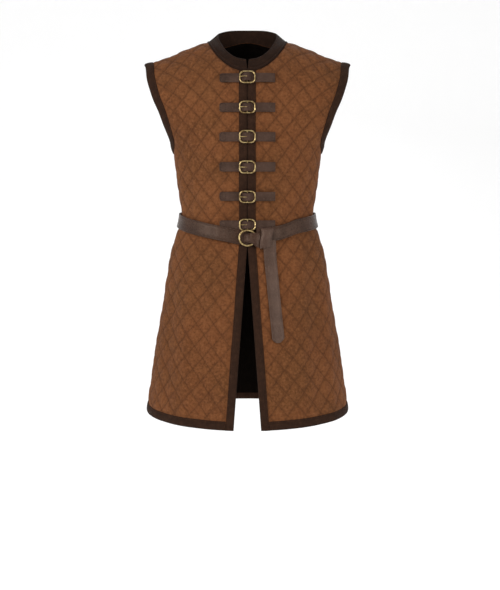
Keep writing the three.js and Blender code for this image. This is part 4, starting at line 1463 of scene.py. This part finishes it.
def sewnRow(centre, start, way):
    # A straight row on a strap from a point in mm, along x or along the drop
    def lay(x, y, z):
        across = start[0] + (way[0] * x - way[1] * y) / mm
        down = start[1] + (way[1] * x + way[0] * y) / mm
        return onClosure(centre, across, down, closureSet["sewnLift"] + z / mm)

    return lay


def closure(k):
    centre = float(alongAt((closureSet["first"] + (k - 1) * closureSet["pitch"]) * mm))
    strapPiece(f"strap_{k}", "tongue", centre)
    strapPiece(f"strap_base_{k}", "base", centre)
    shape = wireShape(frameLine(), closureSet["frameWire"], centre)
    wirePiece(f"buckle_frame_{k}", "frame", shape, [f"buckle_frame_{k}"])
    level, tall = closureSet["frameLevel"], closureSet["frameHalfTall"]
    bar = lineOf([(0, -tall, level), (0, tall, level)])
    shape = wireShape(bar, closureSet["barWire"], centre)
    wirePiece(f"buckle_bar_{k}", "bar", shape)
    prong = lineOf([(x, 0, z) for x, z in pathOf(closureSet["prong"])[0]])
    shape = wireShape(prong, closureSet["prongWire"], centre, closureSet["prongTaper"])
    wirePiece(f"buckle_prong_{k}", "prong", shape, [f"buckle_prong_{k}"])
    near, far, half = closureSet["sewn"]
    rows = []
    for level in (-half, half):
        rows.append(stitchRow((far - near) * mm, sewnRow(centre, (near, level), (1, 0))))
    for place in (near, far):
        rows.append(stitchRow(2 * half * mm, sewnRow(centre, (place, -half), (0, 1))))
    threadPiece(f"strap_stitches_{k}", rows, "strap_leather")


for k in range(1, closureSet["count"] + 1):
    closure(k)
print("closures ready")

# Belt with its ring, loop, knot and hanging end
knotSet = {  # sizes in mm
    "ringRadius": 17.8,
    "ringSteps": 64,
    "ringWire": 2.15,
    "ringDown": 456,
    "ringLevel": 14.75,
    "ringTilt": 0.13,
    "thick": 2.5,
    "loopCrease": 0.5,
    "loop": [  # across, height, width, how far the middle drops
        (-7, 10.8, 20, 0),
        (-1, 11.4, 21, 0),
        (4, 14.2, 22, 0.3),
        (8, 17.6, 24, 1),
        (13, 18.4, 28, 2.6),
        (19, 18.2, 32, 4.6),
        (24, 16.9, 34, 6),
        (29, 15.4, 34, 6.6),
        (33, 15.3, 33, 6.6),
    ],
    "wrap": [  # drop, height
        (433, 12.8),
        (434, 16.8),
        (438, 20.4),
        (446, 22.2),
        (456, 22),
        (467, 20.1),
        (477, 17.6),
    ],
    "wrapSides": (27.6, 55.2),
    "wrapPinch": 0.13,  # share of the width that the wrap loses in its middle
    "wrapSway": 1.2,
    "wrapSwell": 2.4,
    "wrapCrease": 0.8,
    "wrapSlant": 6.5,
    "tail": [  # drop, across, height
        (462, 47.2, 15.8),
        (470, 47.9, 15.6),
        (480, 48.8, 13.6),
        (493, 50.2, 8.8),
        (512, 52, 7.5),
        (560, 57, 7.4),
        (610, 62, 7.4),
        (655, 66.5, 7.4),
        (681, 69, 7.4),
        (692, 70, 7.4),
    ],
    "tailWide": 28.4,
    "tailLong": 232,
    "tailCurl": 0.9,
    "tailPoint": [(0, 0.22), (0.6, 0.4), (4.8, 0.72), (8.5, 0.95), (11, 1.0)],  # distance from the end, share
}


def beltBand(s, t):
    turn = beltLine["start"] - beltLine["sweep"] * s
    down = readRows(beltLine["rows"], 1, turn)
    level = readRows(beltLine["rows"], 2, turn)
    whole = (turn + 180) % 360 - 180
    isFront = np.abs(whole) <= 90
    fromCentre = np.where(isFront, whole, np.sign(whole) * (180 - np.abs(whole)))
    side, height = stripParts(t, beltLine["wide"], beltLine["thick"])
    centre = alongAt(down * mm)
    angle = np.radians(np.abs(fromCentre))
    across = np.where(isFront, arcTo("front", centre, angle), arcTo("back", centre, angle))
    across = across * np.where(fromCentre < 0, -1, 1)
    out = (level + beltLine["thick"] / 2 + height) * mm
    return onEitherFace(isFront, across, alongAt((down + side) * mm), out)


def beltLoop(s, t):
    (x, z, wide, lower), run = readPath(pathOf(knotSet["loop"]), s)
    side, height = stripParts(t, wide, knotSet["thick"])
    crease = knotSet["loopCrease"] * np.sin(side * 0.9 + s * 5) * smooth((s - 0.25) / 0.3)
    x, z = x - run[:, 1] * height, z + run[:, 0] * height + crease
    z = z - side * knotSet["ringTilt"] * smooth(x / 8)
    return onClosure(float(alongAt(knotSet["ringDown"] * mm)), x, side + lower, z)


def beltWrap(s, t):
    (down, z), run = readPath(pathOf(knotSet["wrap"]), s)
    left, right = knotSet["wrapSides"]
    side, height = stripParts(t, right - left, knotSet["thick"])
    share = side / (right - left) + 0.5
    middle = np.sin(math.pi * s) ** 2
    side = side * (1 - knotSet["wrapPinch"] * middle) + knotSet["wrapSway"] * np.sin(2 * math.pi * s)
    swell = knotSet["wrapSwell"] * (np.sin(math.pi * share) - 0.7) * smooth((s - 0.1) / 0.2)
    crease = knotSet["wrapCrease"] * np.sin(share * 11 + s * 7) * middle
    slant = knotSet["wrapSlant"] * smooth((s - 0.75) / 0.25) * (0.7 - share)
    down = down + slant - run[:, 1] * height
    out = (z + run[:, 0] * height + swell + crease) * mm
    return placeOn("front", ((left + right) / 2 + side) * mm, alongAt(down * mm), out)


def beltTail(s, t):
    rows = [(down, z, x) for down, x, z in knotSet["tail"]]
    (down, z, x), run = readPath(pathOf(rows), s)
    fromEnd, share = zip(*knotSet["tailPoint"])
    width = knotSet["tailWide"] * np.interp((1 - s) * knotSet["tailLong"], fromEnd, share)
    side, height = stripParts(t, width, knotSet["thick"])
    curl = knotSet["tailCurl"] * (np.abs(side) / 15) ** 2 * np.sin(s * 7) * smooth(s * 3)
    out = (z + run[:, 0] * height + curl) * mm
    return placeOn("front", (x * 1.01 + side) * mm, alongAt((down - side * 0.1) * mm), out)


beltPieces = [  # name, shape, faces along, length and girth in mm, finish
    ("belt_band", beltBand, 420, 900, 75, "belt"),
    ("belt_loop", beltLoop, 60, 45, 60, "belt"),
    ("belt_knot", beltWrap, 60, 60, 70, "tail"),
    ("belt_tail", beltTail, 120, 240, 65, "tail"),
]
for name, shape, cells, length, girth, finish in beltPieces:
    bm = sheetGrid(cells, len(stripSection), shape, (length * mm, girth * mm))
    finishPiece(name, bm, [finishes[finish]], [name], "leather")


def beltRing():
    points = []
    for k in range(knotSet["ringSteps"] + 1):
        angle = 2 * math.pi * k / knotSet["ringSteps"]
        x, y = knotSet["ringRadius"] * math.cos(angle), knotSet["ringRadius"] * math.sin(angle)
        points.append((x, y, knotSet["ringLevel"] - y * knotSet["ringTilt"]))
    centre = float(alongAt(knotSet["ringDown"] * mm))
    shape = wireShape(lineOf(points), knotSet["ringWire"], centre)
    wirePiece("belt_ring", "ring", shape, ["belt_ring"])


beltRing()
print("belt ready")

# Pale floor that curves up into a backdrop
stageSet = {"floor": -1.42, "back": 3.2, "front": -4.2, "half": 7.0, "rise": 6.0, "curve": 1.6, "glow": 0.14}


def backdrop():
    bm = bmesh.new()
    bmesh.ops.create_grid(bm, x_segments=1, y_segments=60, size=0.5)
    flat = coordinates(bm) + 0.5
    depth, curve = stageSet["back"] - stageSet["front"], stageSet["curve"]
    s = flat[:, 1] * (depth + stageSet["rise"])
    past = s - depth + curve
    bend = np.clip(past, 0, curve * math.pi / 2) / curve
    y = stageSet["front"] + np.minimum(s, depth - curve) + curve * np.sin(bend)
    z = stageSet["floor"] + curve * (1 - np.cos(bend)) + np.maximum(past - curve * math.pi / 2, 0)
    x = (flat[:, 0] - 0.5) * 2 * stageSet["half"]
    moveTo(bm, np.stack([x, y, z], axis=1))
    for f in bm.faces:
        f.smooth = True
    mesh = bpy.data.meshes.new("floor")
    bm.to_mesh(mesh)
    bm.free()
    floor = bpy.data.objects.new("floor", mesh)
    scene.collection.objects.link(floor)
    sockets = {
        "Base Color": (0.93, 0.93, 0.93, 1),
        "Roughness": 0.95,
        "Emission Color": (1, 1, 1, 1),
        "Emission Strength": stageSet["glow"],
    }
    mesh.materials.append(startMaterial("pale floor", sockets)[0])


backdrop()

lightSet = {
    "world": 0.64,
    "lamps": [  # name, place, aimed at, size, power
        ("key", (-2.0, -1.9, 0.75), (0, 0, -0.35), 1.1, 36),
        ("fill", (2.0, -2.1, -0.05), (0, 0, -0.45), 0.9, 20),
        ("low", (-1.7, -1.5, -0.75), (-0.05, -0.1, -0.45), 0.6, 2.6),
        ("back", (0.4, 2.0, 1.4), (0, 0, -0.3), 1.6, 22),
    ],
}
world = bpy.data.worlds.new("studio")
scene.world = world
world.use_nodes = True
studioLight = world.node_tree.nodes["Background"]
studioLight.inputs["Color"].default_value = (1, 1, 1, 1)
studioLight.inputs["Strength"].default_value = lightSet["world"]
for name, place, aim, size, power in lightSet["lamps"]:
    lampData = bpy.data.lights.new(name, "AREA")
    lampData.size, lampData.energy = size, power
    lamp = bpy.data.objects.new(name, lampData)
    lamp.location = place
    lamp.rotation_euler = (Vector(aim) - Vector(place)).to_track_quat("-Z", "Y").to_euler()
    scene.collection.objects.link(lamp)
scene.view_settings.view_transform = "Standard"
print("stage and lights ready")
